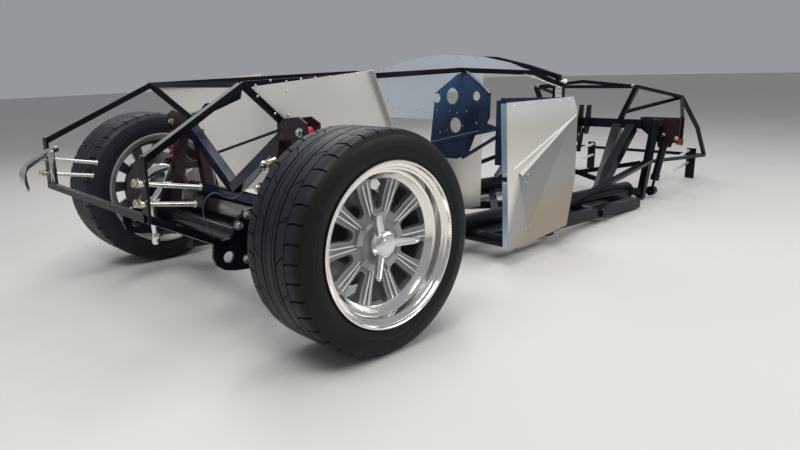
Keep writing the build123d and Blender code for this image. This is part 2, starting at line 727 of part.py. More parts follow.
# Bare sheet panels
bay_panel_outline = [(120, 742), (-347, 797), (-441, 594), (-441, 310), (-130, 310), (-60, 560), (-7, 631)]
firewall_x = -1110.0
footbox_inner_side = 240.0
firewall_outline = [(-460, 590), (footbox_inner_side, 590), (footbox_inner_side, 796), (490, 796), (490, 804),
                    (380, 843), (230, 873), (0, 890), (-230, 873), (-380, 843), (-490, 804), (-490, 796),
                    (-460, 796)]
pedal_plate_x = -870.0
pedal_plate_outline = [(151, 495), (178, 717), (300, 792), (330, 800), (356, 800), (436, 748), (472, 718),
                       (471, 622), (457, 601), (522, 585)]
pedal_holes = ((273, 705, 33), (293, 587, 31), (402, 706, 19), (187, 696, 20), (187, 646, 4), (259, 644, 4),
               (300, 638, 4), (351, 646, 4), (405, 600, 4), (207, 554, 4), (246, 564, 4), (332, 586, 4))
brace_outline = [(150, 500), (411, 557), (374, 475), (315, 449), (240, 448)]
brace_bars = (((151, 498), (520, 582)), ((345, 456), (520, 552)))
brace_bar_size = 12.0
footbox_outline = [(-798, 683), (-1262, 703), (-1300, 640), (-1309, 353), (-1262, 150), (-1101, 131),
                   (-845, 106)]
footbox_flange = 24.0
flange_runs = (((-800, 680), (-822, 402)), ((-824, 384), (-843, 112)))
crease_points = ((-1261, 613), (-891, 409), (-969, 169))
crease_depth = 30.0

with BuildPart() as bay_panel:
    plate_along(bay_panel_outline, rail_side + thin_tube / 2 + 12, sheet)
    with BuildSketch(Plane((-347, rail_side + thin_tube / 2 + 12, 797), x_dir=(0, 1, 0),
                           z_dir=(-94, 0, -203))):
        with Locations((10, 0)):
            Rectangle(20, sheet)
    extrude(amount=hypot(94, 203))
    cut_towers()
    cut_clear_of(nose_frame, top_rails, front_crossmember)
keep_pair("bay_panel", bay_panel)

with BuildPart() as firewall:
    plate_across(firewall_outline, firewall_x, sheet)
    cut_clear_of(top_rails)
keep("firewall", firewall)

with BuildPart() as pedal_plate:
    plate_across(pedal_plate_outline, pedal_plate_x, steel_sheet)
    for y, z, radius in pedal_holes:
        hole_across((pedal_plate_x, y, z), radius, 20)
    cut_clear_of(top_rails)
keep("pedal_plate", pedal_plate)

with BuildPart() as footbox_lower_brace:
    plate_across(brace_outline, pedal_plate_x + 12, steel_sheet)
    for (inner_y, inner_z), (outer_y, outer_z) in brace_bars:
        square_tube(Vector(pedal_plate_x + 14, inner_y, inner_z), Vector(pedal_plate_x + 14, outer_y, outer_z),
                    brace_bar_size)
    block((pedal_plate_x - 12, 510, 440), (pedal_plate_x + 12, 548, 690))
    square_tube(Vector(pedal_plate_x, 530, 690), Vector(door_post_x, 530, 690), thin_tube)
    cut_clear_of(pedal_plate, cockpit_sides)
keep("footbox_lower_brace", footbox_lower_brace)


def crease_wedge(top, facet_side, margin):
    # What lies between a flat face and the facet that leans inwards under it, deepest at the crease's corner.
    rear, corner, foot = [Vector(x, facet_side, z) for x, z in crease_points]
    corner -= (0, crease_depth, 0)
    with BuildPart() as wedge:
        with BuildSketch(Plane((0, top, 0), x_dir=(1, 0, 0), z_dir=(0, -1, 0))):
            Polygon(*crease_points, align=None)
            offset(amount=margin, kind=Kind.INTERSECTION)
        extrude(amount=crease_depth + footbox_flange)
        split(bisect_by=Plane(rear, x_dir=foot - rear, z_dir=(corner - rear).cross(foot - rear)),
              keep=Keep.TOP)
    return wedge.part


crease_backing = crease_wedge(footbox_side + sheet / 2, footbox_side, sheet)
crease_recess = crease_wedge(footbox_side + 2 * sheet, footbox_side + sheet, sheet / 100)

with BuildPart() as footbox_outer_panel:
    plate_along(footbox_outline, footbox_side, sheet)
    add(crease_backing)
    add(crease_recess, mode=Mode.SUBTRACT)
    for (top_x, top_z), (low_x, low_z) in flange_runs:
        flange_side = footbox_side - footbox_flange / 2
        square_tube(Vector(top_x, flange_side, top_z), Vector(low_x, flange_side, low_z),
                    footbox_flange, sheet)
    cut_clear_of(outriggers)
keep("footbox_outer_panel", footbox_outer_panel)

with BuildPart() as footbox_inner_panel:
    panel_rear = firewall_x + sheet
    plate_along([(pedal_plate_x, 720), (panel_rear, 720), (panel_rear, 206), (pedal_plate_x, 206)],
                footbox_inner_side, sheet)
    cut_clear_of(floor_cross_member, main_rails, pedal_plate)
keep("footbox_inner_panel", footbox_inner_panel)

# Front and rear jack bolts, and the polished bonnet hinge arms
jack_bolt_radius = 6.4
front_bolt_table = ((497, 494, 332, 467), (497, 441, 350, 421))
rear_bolt_table = ((-3168, 338, -2920, 300), (-3168, 260, -2920, 222))
rear_bar_side = 363.0
rear_bar_width = 58.0
rear_bar_foot = 152.0
rear_bar_head = 350.0
rear_bolt_side = 346.0
hinge_side = 396.0
hinge_thickness = 6.0
hook_outline = [(492, 506), (470, 528), (443, 538), (416, 533), (405, 513), (412, 488), (441, 455),
                (454, 434), (474, 444), (458, 466), (437, 490), (427, 507), (431, 516), (441, 516),
                (461, 506), (478, 492)]
link_outline = [(455, 446), (474, 446), (478, 372), (470, 330), (458, 330), (452, 372)]
open_arm_outline = [(468, 534), (474, 512), (497, 506), (556, 468), (577, 452), (579, 415), (574, 388),
                    (586, 386), (593, 415), (590, 456), (562, 484), (503, 527), (480, 540)]
open_link_outline = [(481, 520), (494, 520), (492, 396), (480, 396)]
open_link_bolt = Vector(488, -hinge_side, 410)
open_link_bolt_radius = 5.0

with BuildPart() as front_jack_bolts:
    for side in sides:
        for x_head, z_head, x_tip, z_tip in front_bolt_table:
            head = Vector(x_head, side * 420, z_head)
            rod(head, Vector(x_tip, side * 408, z_tip), jack_bolt_radius)
            rod(head, head + (16, 0, 3), 12)
    cut_clear_of(nose_frame)
keep("front_jack_bolts", front_jack_bolts)

with BuildPart() as rear_jack_bolts:
    for side in sides:
        for x_head, z_head, x_tip, z_tip in rear_bolt_table:
            rod(Vector(x_head, side * rear_bolt_side, z_head),
                Vector(x_tip, side * (rear_bolt_side + 12), z_tip), jack_bolt_radius)
            rod(Vector(x_head - 14, side * rear_bolt_side, z_head + 2),
                Vector(x_head, side * rear_bolt_side, z_head), 12)
        bar_x = joint_at("tail_foot").X - thin_tube / 2 - jack_bar_thickness / 2
        square_tube(Vector(bar_x, side * rear_bar_side, rear_bar_foot),
                    Vector(bar_x, side * rear_bar_side, rear_bar_head),
                    rear_bar_width, jack_bar_thickness)
    cut_clear_of(tail_frame)
keep("rear_jack_bolts", rear_jack_bolts)

with BuildPart() as bonnet_hinges:
    # The left arm hangs folded, the right one is swung open and forward
    plate_along(hook_outline, hinge_side, hinge_thickness)
    plate_along(link_outline, hinge_side - hinge_thickness, hinge_thickness)
    plate_along(open_arm_outline, -hinge_side, -hinge_thickness)
    plate_along(open_link_outline, hinge_thickness - hinge_side, -hinge_thickness)
    rod(open_link_bolt + (0, hinge_thickness, 0), open_link_bolt - (0, 20, 0), open_link_bolt_radius)
    cut_clear_of(front_jack_bolts, nose_frame)
keep("bonnet_hinges", bonnet_hinges)

# Finished pieces are set down at rest: the front tyres and the rails' rear ends touch the floor
axle_height_over_rail = tyre_radius - ground_clearance
rear_foot_distance = hypot(axle_height_over_rail, rail_rear_end)
rest_pitch = atan2(-rail_rear_end, axle_height_over_rail) - acos(tyre_radius / rear_foot_distance)
axle = Location((0, 0, tyre_radius))
level_to_rest = axle * Location((0, 0, 0), (0, 1, 0), -degrees(rest_pitch)) * axle.inverse()

os.makedirs("parts", exist_ok=True)
at_rest = {name: solid.moved(level_to_rest) for name, solid in pieces.items()}
boxes = [solid.bounding_box() for solid in at_rest.values()]
front_end = max(box.max.X for box in boxes)
rear_end = min(box.min.X for box in boxes)
axle_from_origin = -(front_end + rear_end) / 2
print(f"front axle at x {axle_from_origin:.3f} mm, nose up {degrees(rest_pitch):.4f} degrees")
to_origin = Location((axle_from_origin, 0, 0))
for name, solid in at_rest.items():
    finished = solid.moved(to_origin)
    finished.label = name
    export_step(finished, f"parts/{name}.step")
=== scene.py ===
import json
import math

import bmesh
import bpy
from mathutils import Matrix, Vector


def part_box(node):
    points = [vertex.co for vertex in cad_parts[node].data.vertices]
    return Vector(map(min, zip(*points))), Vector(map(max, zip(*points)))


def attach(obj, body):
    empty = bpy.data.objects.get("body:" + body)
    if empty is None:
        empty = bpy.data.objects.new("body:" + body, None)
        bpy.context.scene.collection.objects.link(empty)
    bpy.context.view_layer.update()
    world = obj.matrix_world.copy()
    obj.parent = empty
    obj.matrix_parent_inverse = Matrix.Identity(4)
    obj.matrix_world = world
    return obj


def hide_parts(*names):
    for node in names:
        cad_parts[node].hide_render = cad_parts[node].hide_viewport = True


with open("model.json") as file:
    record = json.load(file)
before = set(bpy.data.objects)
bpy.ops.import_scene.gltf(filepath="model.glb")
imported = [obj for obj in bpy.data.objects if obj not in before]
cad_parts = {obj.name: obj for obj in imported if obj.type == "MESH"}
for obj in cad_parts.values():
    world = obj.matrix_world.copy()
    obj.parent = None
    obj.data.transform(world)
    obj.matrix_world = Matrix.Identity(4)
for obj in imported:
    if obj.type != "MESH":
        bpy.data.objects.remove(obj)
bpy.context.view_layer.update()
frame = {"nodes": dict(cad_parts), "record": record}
nodes = frame["nodes"]

# The chassis is drawn level and rests nose up: front tyres and rail ends on the floor
stance = {
    "tyreRadius": 0.318,
    "railClearance": 0.105,
    "railEnd": 2.330,
}

tyreLow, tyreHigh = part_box("tyre_left")
axleX = (tyreLow.x + tyreHigh.x) / 2
overRail = stance["tyreRadius"] - stance["railClearance"]
footDistance = math.hypot(overRail, stance["railEnd"])
restPitch = math.atan2(stance["railEnd"], overRail) - math.acos(stance["tyreRadius"] / footDistance)
toRest = (Matrix.Translation((axleX, 0, stance["tyreRadius"]))
          @ Matrix.Rotation(-restPitch, 4, "Y")
          @ Matrix.Translation((0, 0, -stance["tyreRadius"])))

# Camera at the photograph's place: ahead of the front axle, to the left, under top-rail height
cameraSet = {
    "place": (1.14299, 2.05682, 0.73769),
    "heading": 226.2170,
    "down": 12.2055,
    "focalPixels": 633.5,
    "widthPixels": 800,
    "sensor": 36.0,
}


def placeCamera(c):
    heading = math.radians(c["heading"])
    down = math.radians(c["down"])
    forward = Vector((math.cos(down) * math.cos(heading), math.cos(down) * math.sin(heading),
                      -math.sin(down)))
    right = Vector((math.sin(heading), -math.cos(heading), 0))
    up = right.cross(forward)
    turn = Matrix((right, up, -forward)).transposed().to_4x4()
    data = bpy.data.cameras.new("photoCamera")
    data.sensor_width = c["sensor"]
    data.lens = c["focalPixels"] / c["widthPixels"] * c["sensor"]
    data.clip_start = 0.05
    camera = bpy.data.objects.new("photoCamera", data)
    camera.matrix_world = toRest @ Matrix.Translation(c["place"]) @ turn
    bpy.context.scene.collection.objects.link(camera)
    bpy.context.scene.camera = camera


placeCamera(cameraSet)
print("camera placed")


# Shader groups shared by the finishes
def addNode(tree, kind, values=None, **settings):
    node = tree.nodes.new(kind)
    for name, value in settings.items():
        setattr(node, name, value)
    for name, value in (values or {}).items():
        node.inputs[name].default_value = value
    return node


def wire(tree, *links):
    # Each link is a node, its output, the next node and its input
    for source, output, target, socket in links:
        tree.links.new(source.outputs[output], target.inputs[socket])


def startGroup(name, inputs, output):
    group = bpy.data.node_groups.new(name, "ShaderNodeTree")
    for label, value in inputs.items():
        kind = "NodeSocketFloat" if isinstance(value, float) else "NodeSocketVector"
        group.interface.new_socket(name=label, in_out="INPUT", socket_type=kind).default_value = value
    group.interface.new_socket(name=output, in_out="OUTPUT", socket_type="NodeSocketFloat")
    source, out = group.nodes.new("NodeGroupInput"), group.nodes.new("NodeGroupOutput")
    return group, source, out, addNode(group, "ShaderNodeTexCoord")


def makePatches():
    # Soft uneven patches between two limits, 0 to 1
    group, source, out, where = startGroup("patches", {"Scale": 4.0, "Low": 0.38, "High": 0.66}, "Mask")
    noise = addNode(group, "ShaderNodeTexNoise", {"Detail": 5.0, "Roughness": 0.6, "Distortion": 0.4})
    spread = addNode(group, "ShaderNodeMapRange")
    wire(group, (where, "Object", noise, "Vector"), (source, "Scale", noise, "Scale"),
         (noise, "Fac", spread, "Value"), (source, "Low", spread, "From Min"),
         (source, "High", spread, "From Max"), (spread, "Result", out, "Mask"))
    return group


def makeGrain():
    # Fine streaks, drawn out along the axis with the smallest stretch
    group, source, out, where = startGroup("grain", {"Stretch": (1, 1, 1), "Scale": 100.0}, "Height")
    stretch = addNode(group, "ShaderNodeVectorMath", operation="MULTIPLY")
    noise = addNode(group, "ShaderNodeTexNoise", {"Detail": 3.0, "Roughness": 0.55})
    wire(group, (where, "Object", stretch, 0), (source, "Stretch", stretch, 1),
         (stretch, "Vector", noise, "Vector"), (source, "Scale", noise, "Scale"),
         (noise, "Fac", out, "Height"))
    return group


def makeShopDust():
    # Dust that lies on faces turned upwards, in uneven patches
    group, source, out, where = startGroup("shopDust", {"Amount": 0.3, "Scale": 9.0}, "Mask")
    shape = addNode(group, "ShaderNodeNewGeometry")
    parts = addNode(group, "ShaderNodeSeparateXYZ")
    upward = addNode(group, "ShaderNodeMapRange", {"From Min": 0.2, "From Max": 1.0})
    noise = addNode(group, "ShaderNodeTexNoise", {"Detail": 6.0, "Roughness": 0.7})
    uneven = addNode(group, "ShaderNodeMapRange", {"From Min": 0.35, "From Max": 0.7})
    both = addNode(group, "ShaderNodeMath", operation="MULTIPLY")
    amount = addNode(group, "ShaderNodeMath", operation="MULTIPLY")
    wire(group, (shape, "Normal", parts, "Vector"), (parts, "Z", upward, "Value"),
         (where, "Object", noise, "Vector"), (source, "Scale", noise, "Scale"),
         (noise, "Fac", uneven, "Value"), (upward, "Result", both, 0), (uneven, "Result", both, 1),
         (both, "Value", amount, 0), (source, "Amount", amount, 1), (amount, "Value", out, "Mask"))
    return group


def makeTurnedRings():
    # Lathe marks: rings about the front axle line
    group, source, out, where = startGroup("turnedRings", {"Centre": (axleX, 0, stance["tyreRadius"]),
                                                           "Scale": 400.0}, "Height")
    fromAxle = addNode(group, "ShaderNodeVectorMath", operation="SUBTRACT")
    flat = addNode(group, "ShaderNodeVectorMath", {1: (1, 0, 1)}, operation="MULTIPLY")
    reach = addNode(group, "ShaderNodeVectorMath", operation="LENGTH")
    noise = addNode(group, "ShaderNodeTexNoise", {"Detail": 2.0}, noise_dimensions="1D")
    wire(group, (where, "Object", fromAxle, 0), (source, "Centre", fromAxle, 1),
         (fromAxle, "Vector", flat, 0), (flat, "Vector", reach, 0), (reach, "Value", noise, "W"),
         (source, "Scale", noise, "Scale"), (noise, "Fac", out, "Height"))
    return group


def makeSideFade():
    # 0 to 1 across a plane: how far a point lies along the plane's direction
    group, source, out, where = startGroup("sideFade", {"Direction": (0, 0, 1), "Start": 0.0, "End": 1.0},
                                           "Mask")
    along = addNode(group, "ShaderNodeVectorMath", operation="DOT_PRODUCT")
    spread = addNode(group, "ShaderNodeMapRange")
    wire(group, (where, "Object", along, 0), (source, "Direction", along, 1),
         (along, "Value", spread, "Value"), (source, "Start", spread, "From Min"),
         (source, "End", spread, "From Max"), (spread, "Result", out, "Mask"))
    return group


patches = makePatches()
grain = makeGrain()
shopDust = makeShopDust()
turnedRings = makeTurnedRings()
sideFade = makeSideFade()


def groupNode(tree, group, **values):
    node = tree.nodes.new("ShaderNodeGroup")
    node.node_tree = group
    for name, value in values.items():
        node.inputs[name].default_value = value
    return node


def mixColours(tree, mask, first, second):
    mix = tree.nodes.new("ShaderNodeMix")
    mix.data_type = "RGBA"
    tree.links.new(mask, mix.inputs[0])
    for socket, colour in ((mix.inputs[6], first), (mix.inputs[7], second)):
        if isinstance(colour, tuple):
            socket.default_value = (*colour, 1)
        else:
            tree.links.new(colour, socket)
    return mix.outputs[2]


def finishLook(name, look):
    # One finish: two shades in patches, dust on top, colour fades across planes that paint light and shade,
    # uneven roughness, and streaks or rings as a fine bump
    material = bpy.data.materials.new(name)
    material.use_nodes = True
    tree = material.node_tree
    tree.nodes.clear()
    out = addNode(tree, "ShaderNodeOutputMaterial")
    shader = addNode(tree, "ShaderNodeBsdfPrincipled", {
        "Metallic": look["metallic"], "Coat Weight": look["coat"], "Coat Roughness": look["coatRough"],
        "Specular IOR Level": look["specular"]})
    patchy = groupNode(tree, patches, Scale=look["patchScale"], Low=look["patchLow"], High=look["patchHigh"])
    colour = mixColours(tree, patchy.outputs["Mask"], look["colour"], look["shade"])
    if look["dust"]:
        dusty = groupNode(tree, shopDust, Amount=look["dust"], Scale=look["dustScale"])
        colour = mixColours(tree, dusty.outputs["Mask"], colour, look["dustColour"])
    if look["rings"]:
        fine = groupNode(tree, turnedRings, Scale=look["rings"])
    else:
        fine = groupNode(tree, grain, Stretch=look["stretch"], Scale=look["grainScale"])
    for planes, tone in look["fades"]:  # planes are given on the level chassis: direction, start, end
        masks = []
        for direction, start, end in planes:
            turned = toRest.to_3x3() @ Vector(direction)
            shift = toRest.translation.dot(turned)
            masks.append(groupNode(tree, sideFade, Direction=turned, Start=start + shift,
                                   End=end + shift).outputs["Mask"])
        while len(masks) > 1:
            both = addNode(tree, "ShaderNodeMath", operation="MULTIPLY")
            for socket in both.inputs[:2]:
                tree.links.new(masks.pop(), socket)
            masks.append(both.outputs["Value"])
        colour = mixColours(tree, masks[0], colour, tone)
    tree.links.new(colour, shader.inputs["Base Color"])
    rough = addNode(tree, "ShaderNodeMapRange", {"To Min": look["rough"][0], "To Max": look["rough"][1]})
    bump = addNode(tree, "ShaderNodeBump", {"Strength": look["bump"], "Distance": look["bumpDepth"]})
    roughFrom = (fine, "Height") if look["roughFromGrain"] else (patchy, "Mask")
    wire(tree, (*roughFrom, rough, "Value"), (rough, "Result", shader, "Roughness"),
         (fine, "Height", bump, "Height"), (bump, "Normal", shader, "Normal"),
         (shader, "BSDF", out, "Surface"))
    return material


plainFinish = {
    "metallic": 0.0, "coat": 0.0, "coatRough": 0.1, "specular": 0.5, "patchScale": 5.0, "patchLow": 0.38,
    "patchHigh": 0.66, "dust": 0.0, "dustScale": 9.0, "dustColour": (0.32, 0.3, 0.27), "rings": 0.0,
    "stretch": (1, 1, 1), "grainScale": 300.0, "bump": 0.1, "bumpDepth": 0.0005, "roughFromGrain": False,
    "fades": (),
}
bareSheet = {"patchLow": 0.3, "patchHigh": 0.75, "grainScale": 420.0, "bump": 0.05}


def finish(colour, shade, rough, **own):
    # The colour, its patches' shade and the roughness from and to, then what differs from a plain finish
    return {**plainFinish, "colour": colour, "shade": shade, "rough": rough, **own}


finishes = {
    "blackGloss": finish(
        # the faint blue tint is a painted sheen of blue light
        (0.003, 0.0036, 0.006), (0.006, 0.007, 0.011), (0.18, 0.3), coat=0.02, coatRough=0.06, specular=0.15,
        dust=0.012, bump=0.22, grainScale=260.0, bumpDepth=0.0004),
    "blueLitBlackGloss": finish(
        # black gloss tinted blue: a painted sheen of blue light on the brace's tubes
        (0.003, 0.006, 0.020), (0.005, 0.011, 0.036), (0.14, 0.24), coat=0.2, coatRough=0.05, specular=0.5,
        dust=0.02, bump=0.15, grainScale=260.0, bumpDepth=0.0003),
    "blueBlackSteel": finish(
        (0.004, 0.010, 0.028), (0.010, 0.022, 0.055), (0.22, 0.38), coat=0.1, specular=0.3, dust=0.02,
        patchScale=7.0, bump=0.06,
        # the upper part is painted a lighter blue, a painted reflection of light from above
        fades=(((((0, -0.4, 1), 0.48, 0.66),), (0.030, 0.075, 0.17)),)),
    "millSheet": finish(
        # the warm tint is a painted warm reflection
        (0.84, 0.82, 0.77), (0.72, 0.7, 0.66), (0.28, 0.42), **bareSheet, metallic=0.8, patchScale=3.2,
        stretch=(0.06, 1.0, 1.0), dust=0.08),
    "blueLitSheet": finish(
        # the blue-white tint is a painted reflection of cool light on bare sheet
        (0.86, 0.9, 0.95), (0.74, 0.81, 0.9), (0.26, 0.4), **bareSheet, metallic=0.7, patchScale=3.2,
        stretch=(1.0, 0.06, 1.0), dust=0.05),
    "footboxSheet": finish(
        # the warm tint is a painted warm reflection
        (0.8, 0.785, 0.72), (0.72, 0.7, 0.63), (0.26, 0.4), **bareSheet, metallic=0.75, patchScale=2.6,
        stretch=(0.06, 1.0, 1.0), dust=0.06,
        fades=(
            # painted shade: the half under the crease is darker, with a painted warm reflection of the floor
            # towards its foot
            ((((-0.483, 0, -0.8756), 0.078, 0.082), ((-1, 0, -0.33), 0.745, 0.79)), (0.36, 0.36, 0.35)),
            ((((-0.483, 0, -0.8756), 0.12, 0.32), ((-1, 0, -0.33), 0.80, 0.95), ((0, 0, -1), -0.40, -0.22)),
             (0.35, 0.295, 0.225)),
            # a painted highlight on the top edge, and painted cold blue light on the front flange
            ((((0.06, 0, 1), 0.53, 0.60),), (0.92, 0.92, 0.9)),
            ((((0.997, 0, -0.0755), -0.8525, -0.8495),), (0.48, 0.6, 0.74)))),
    "ledgeHighlightSheet": finish(
        # near white with little metal: a painted highlight on the crease's upward ledge
        (0.95, 0.95, 0.93), (0.88, 0.88, 0.86), (0.32, 0.45), metallic=0.25, grainScale=420.0, bump=0.04),
    "polishedLip": finish(
        # the warm tint is a painted warm reflection
        (0.9, 0.872, 0.825), (0.86, 0.83, 0.785), (0.1, 0.2), metallic=1.0, rings=900.0, bump=0.025,
        roughFromGrain=True),
    "spokeGrey": finish(
        (0.2, 0.215, 0.215), (0.235, 0.25, 0.25), (0.36, 0.5), metallic=0.35, coat=0.25, grainScale=900.0,
        bump=0.12, bumpDepth=0.0003, dust=0.05),
    "satinPolish": finish(
        (0.72, 0.725, 0.73), (0.62, 0.625, 0.63), (0.2, 0.34), metallic=1.0, grainScale=500.0, bump=0.12,
        bumpDepth=0.0003, patchScale=14.0),
    "castSatin": finish(
        (0.44, 0.45, 0.46), (0.36, 0.37, 0.38), (0.36, 0.55), metallic=0.9, grainScale=700.0, bump=0.35,
        bumpDepth=0.0004, patchScale=12.0),
    "discIron": finish(
        (0.36, 0.37, 0.38), (0.26, 0.265, 0.27), (0.28, 0.46), metallic=1.0, rings=1400.0, bump=0.2,
        roughFromGrain=True),
    "tyreRubber": finish(
        # the bluish tint is a painted sheen of sky light on the rubber
        (0.0085, 0.0100, 0.0135), (0.0125, 0.0155, 0.0225), (0.4, 0.56), grainScale=520.0, bump=0.3,
        bumpDepth=0.0004, dust=0.1, dustScale=26.0, dustColour=(0.06, 0.057, 0.055), patchScale=9.0,
        specular=0.2,
        # the sidewalls are plainer and darker than the tread, without its painted bluish sheen
        fades=(((((0, 1, 0), 0.815, 0.832),), (0.0068, 0.0066, 0.0064)),
               ((((0, -1, 0), 0.815, 0.832),), (0.0068, 0.0066, 0.0064)))),
    "zincPlate": finish(
        (0.7, 0.69, 0.66), (0.6, 0.58, 0.52), (0.22, 0.38), metallic=1.0, patchScale=30.0, grainScale=500.0,
        bump=0.12),
    "goldZinc": finish(
        (0.68, 0.61, 0.44), (0.74, 0.7, 0.58), (0.24, 0.4), metallic=1.0, patchScale=40.0, bump=0.1),
    "polishedSteel": finish(
        (0.8, 0.8, 0.8), (0.7, 0.7, 0.71), (0.08, 0.2), metallic=1.0, patchScale=18.0, grainScale=260.0,
        bump=0.06),
    "redAnodised": finish(
        (0.5, 0.012, 0.02), (0.38, 0.01, 0.016), (0.2, 0.34), metallic=0.75, coat=0.3, grainScale=400.0,
        bump=0.05),
    "redRubber": finish((0.46, 0.018, 0.03), (0.36, 0.014, 0.022), (0.4, 0.55), grainScale=500.0, bump=0.15),
    "blackRubber": finish(
        (0.014, 0.014, 0.015), (0.024, 0.023, 0.023), (0.5, 0.7), grainScale=600.0, bump=0.3,
        bumpDepth=0.0003, dust=0.1),
    "ribBright": finish(
        (0.88, 0.88, 0.87), (0.78, 0.78, 0.77), (0.3, 0.42), metallic=0.55, grainScale=500.0, bump=0.05),
    "whitePlastic": finish((0.78, 0.77, 0.74), (0.7, 0.69, 0.66), (0.35, 0.5), bump=0.05, patchScale=40.0),
    "spokePocket": finish(
        (0.3, 0.33, 0.33), (0.36, 0.385, 0.385), (0.32, 0.46), metallic=0.4, coat=0.3, grainScale=900.0,
        bump=0.1, bumpDepth=0.0003),
    "wellGrey": finish(
        # dark grey paint, made darker than the spokes' paint as painted shade inside the barrel
        (0.05, 0.053, 0.055), (0.07, 0.073, 0.075), (0.4, 0.55), metallic=0.3, grainScale=700.0, bump=0.15,
        dust=0.05),
    "studioFloor": finish((0.6, 0.58, 0.55), (0.585, 0.565, 0.535), (0.55, 0.65), patchScale=1.5, bump=0.02),
    "maroonPlate": finish(
        (0.013, 0.006, 0.007), (0.022, 0.009, 0.0105), (0.24, 0.38), coat=0.12, specular=0.4, dust=0.04,
        bump=0.2),
}
looks = {name: finishLook(name, look) for name, look in finishes.items()}
lookNumbers = {name: number for number, name in enumerate(finishes, start=1)}  # 0 is a piece's first look
lookOfSlot = {
    "black_gloss": "blackGloss", "blue_black_steel": "blueBlackSteel", "bare_sheet": "millSheet",
    "polished_alloy": "polishedLip", "cast_aluminium": "castSatin", "disc_iron": "discIron",
    "tyre_rubber": "tyreRubber", "zinc_steel": "zincPlate", "polished_steel": "polishedSteel",
    "red_anodised": "redAnodised",
}
ownLook = {"rear_damper_plates": "maroonPlate", "rack_bar": "blackGloss", "rack_housing": "blackGloss",
           "v_brace": "blueLitBlackGloss", "tower_left": "maroonPlate", "tower_right": "maroonPlate",
           "firewall": "blueLitSheet", "footbox_outer_panel": "footboxSheet"}
slotOf = {row["node"]: row["material_slot"] for row in frame["record"]["subparts"]}
for name, node in nodes.items():
    node.data.materials.clear()
    node.data.materials.append(looks[ownLook.get(name, lookOfSlot[slotOf[name]])])
print("finishes ready")

# Frame tubes keep their solids and get eased edges, which catch the light
easedEdges = {"width": 0.0022, "segments": 2, "angle": 40, "weld": 0.00002}
tubeNodes = ("nose_frame", "top_rails", "cockpit_sides", "dash_hoop", "deck_hoop", "rear_axle_frame",
             "tail_frame", "floor_cross_member", "outriggers", "v_brace", "tower_left", "tower_right",
             "front_crossmember")


def easeEdges(node, e):
    weld = node.modifiers.new("weld", "WELD")
    weld.merge_threshold = e["weld"]
    bevel = node.modifiers.new("easedEdges", "BEVEL")
    bevel.width = e["width"]
    bevel.segments = e["segments"]
    bevel.limit_method = "ANGLE"
    bevel.angle_limit = math.radians(e["angle"])
    bevel.use_clamp_overlap = True


for name in tubeNodes:
    easeEdges(nodes[name], easedEdges)
print("tube edges eased")


# Helpers for new pieces: all are drawn on the level chassis, in metres, and set down at rest when finished
def meshOf(name, bm):
    mesh = bpy.data.meshes.new(name)
    bm.to_mesh(mesh)
    bm.free()
    return mesh


def takeMesh(bm, mesh):
    bm.from_mesh(mesh)
    bpy.data.meshes.remove(mesh)
    return bm


def finishPiece(name, bm, lookNames, body, standsFor=(), sharp=35.0, flip=False):
    if flip:
        bmesh.ops.scale(bm, vec=(1, -1, 1), verts=bm.verts)
    bmesh.ops.remove_doubles(bm, verts=bm.verts, dist=0.00001)
    bmesh.ops.recalc_face_normals(bm, faces=bm.faces)
    bmesh.ops.transform(bm, matrix=toRest, verts=bm.verts)
    # Faces were painted with the finishes' own numbers, and the piece counts only the looks that it has
    slots = {lookNumbers[look]: number for number, look in enumerate(lookNames)}
    for face in bm.faces:
        face.material_index = slots.get(face.material_index, 0)
    mesh = meshOf(name, bm)
    for look in lookNames:
        mesh.materials.append(looks[look])
    mesh.polygons.foreach_set("use_smooth", [True] * len(mesh.polygons))
    mesh.set_sharp_from_angle(angle=math.radians(sharp))
    piece = bpy.data.objects.new(name, mesh)
    bpy.context.scene.collection.objects.link(piece)
    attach(piece, body)
    if standsFor:
        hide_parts(*standsFor)
    return piece


def paint(bm, firstFace, look):
    bm.faces.ensure_lookup_table()
    for face in bm.faces[firstFace:]:
        face.material_index = lookNumbers[look]


def between(start, end):
    start, end = Vector(start), Vector(end)
    run = end - start
    turn = run.to_track_quat("Z", "Y").to_matrix().to_4x4()
    return Matrix.Translation((start + end) / 2) @ turn, run.length


def joinPart(bm, part, place=None, look=None):
    # Adds a shape that was made on its own, so that its faces come last; gives the number of its first face
    first = len(bm.faces)
    if place is not None:
        bmesh.ops.transform(part, matrix=place, verts=part.verts)
    if look:
        paint(part, 0, look)
    takeMesh(bm, meshOf("part", part))
    bm.normal_update()
    return first


def roundOff(bm, geom, offset, segments=2, affect="EDGES"):
    bmesh.ops.bevel(bm, geom=geom, offset=offset, segments=segments, profile=0.5, affect=affect, material=-1)


def addRod(bm, start, end, radius, endRadius=None, sides=20, soften=0.0):
    place, length = between(start, end)
    part = bmesh.new()
    bmesh.ops.create_cone(part, cap_ends=True, segments=sides, radius1=radius,
                          radius2=radius if endRadius is None else endRadius, depth=length)
    if soften:
        rims = [edge for edge in part.edges if any(len(face.verts) > 4 for face in edge.link_faces)]
        roundOff(part, rims, soften)
    return joinPart(bm, part, place)


def addBlock(bm, place, size, soften=0.0008):
    part = bmesh.new()
    bmesh.ops.create_cube(part, size=1, matrix=Matrix.Diagonal((*size, 1)))
    roundOff(part, part.edges[:], soften)
    return joinPart(bm, part, place)


def addBar(bm, start, end, width, depth, soften=0.0008):
    # A flat bar whose width lies level and whose depth stands up
    place, length = between(start, end)
    return addBlock(bm, place, (width, depth, length), soften)


def addHex(bm, start, end, across):
    return addRod(bm, start, end, across / math.sqrt(3), sides=6, soften=across * 0.05)


fastenerShape = {
    "sunk": 0.001,
    "washerTop": 0.002,
    "shankOut": 0.002,
    "shankShare": 0.3,  # of the size across the hexagon's flats
    "edge": 0.0005,
    "rivetRim": (-0.0004, 0.0009, 1.0, 0.92),  # from and to along the rivet, then two shares of its radius
    "rivetHead": (0.0008, 0.0019, 0.86, 0.4),
}


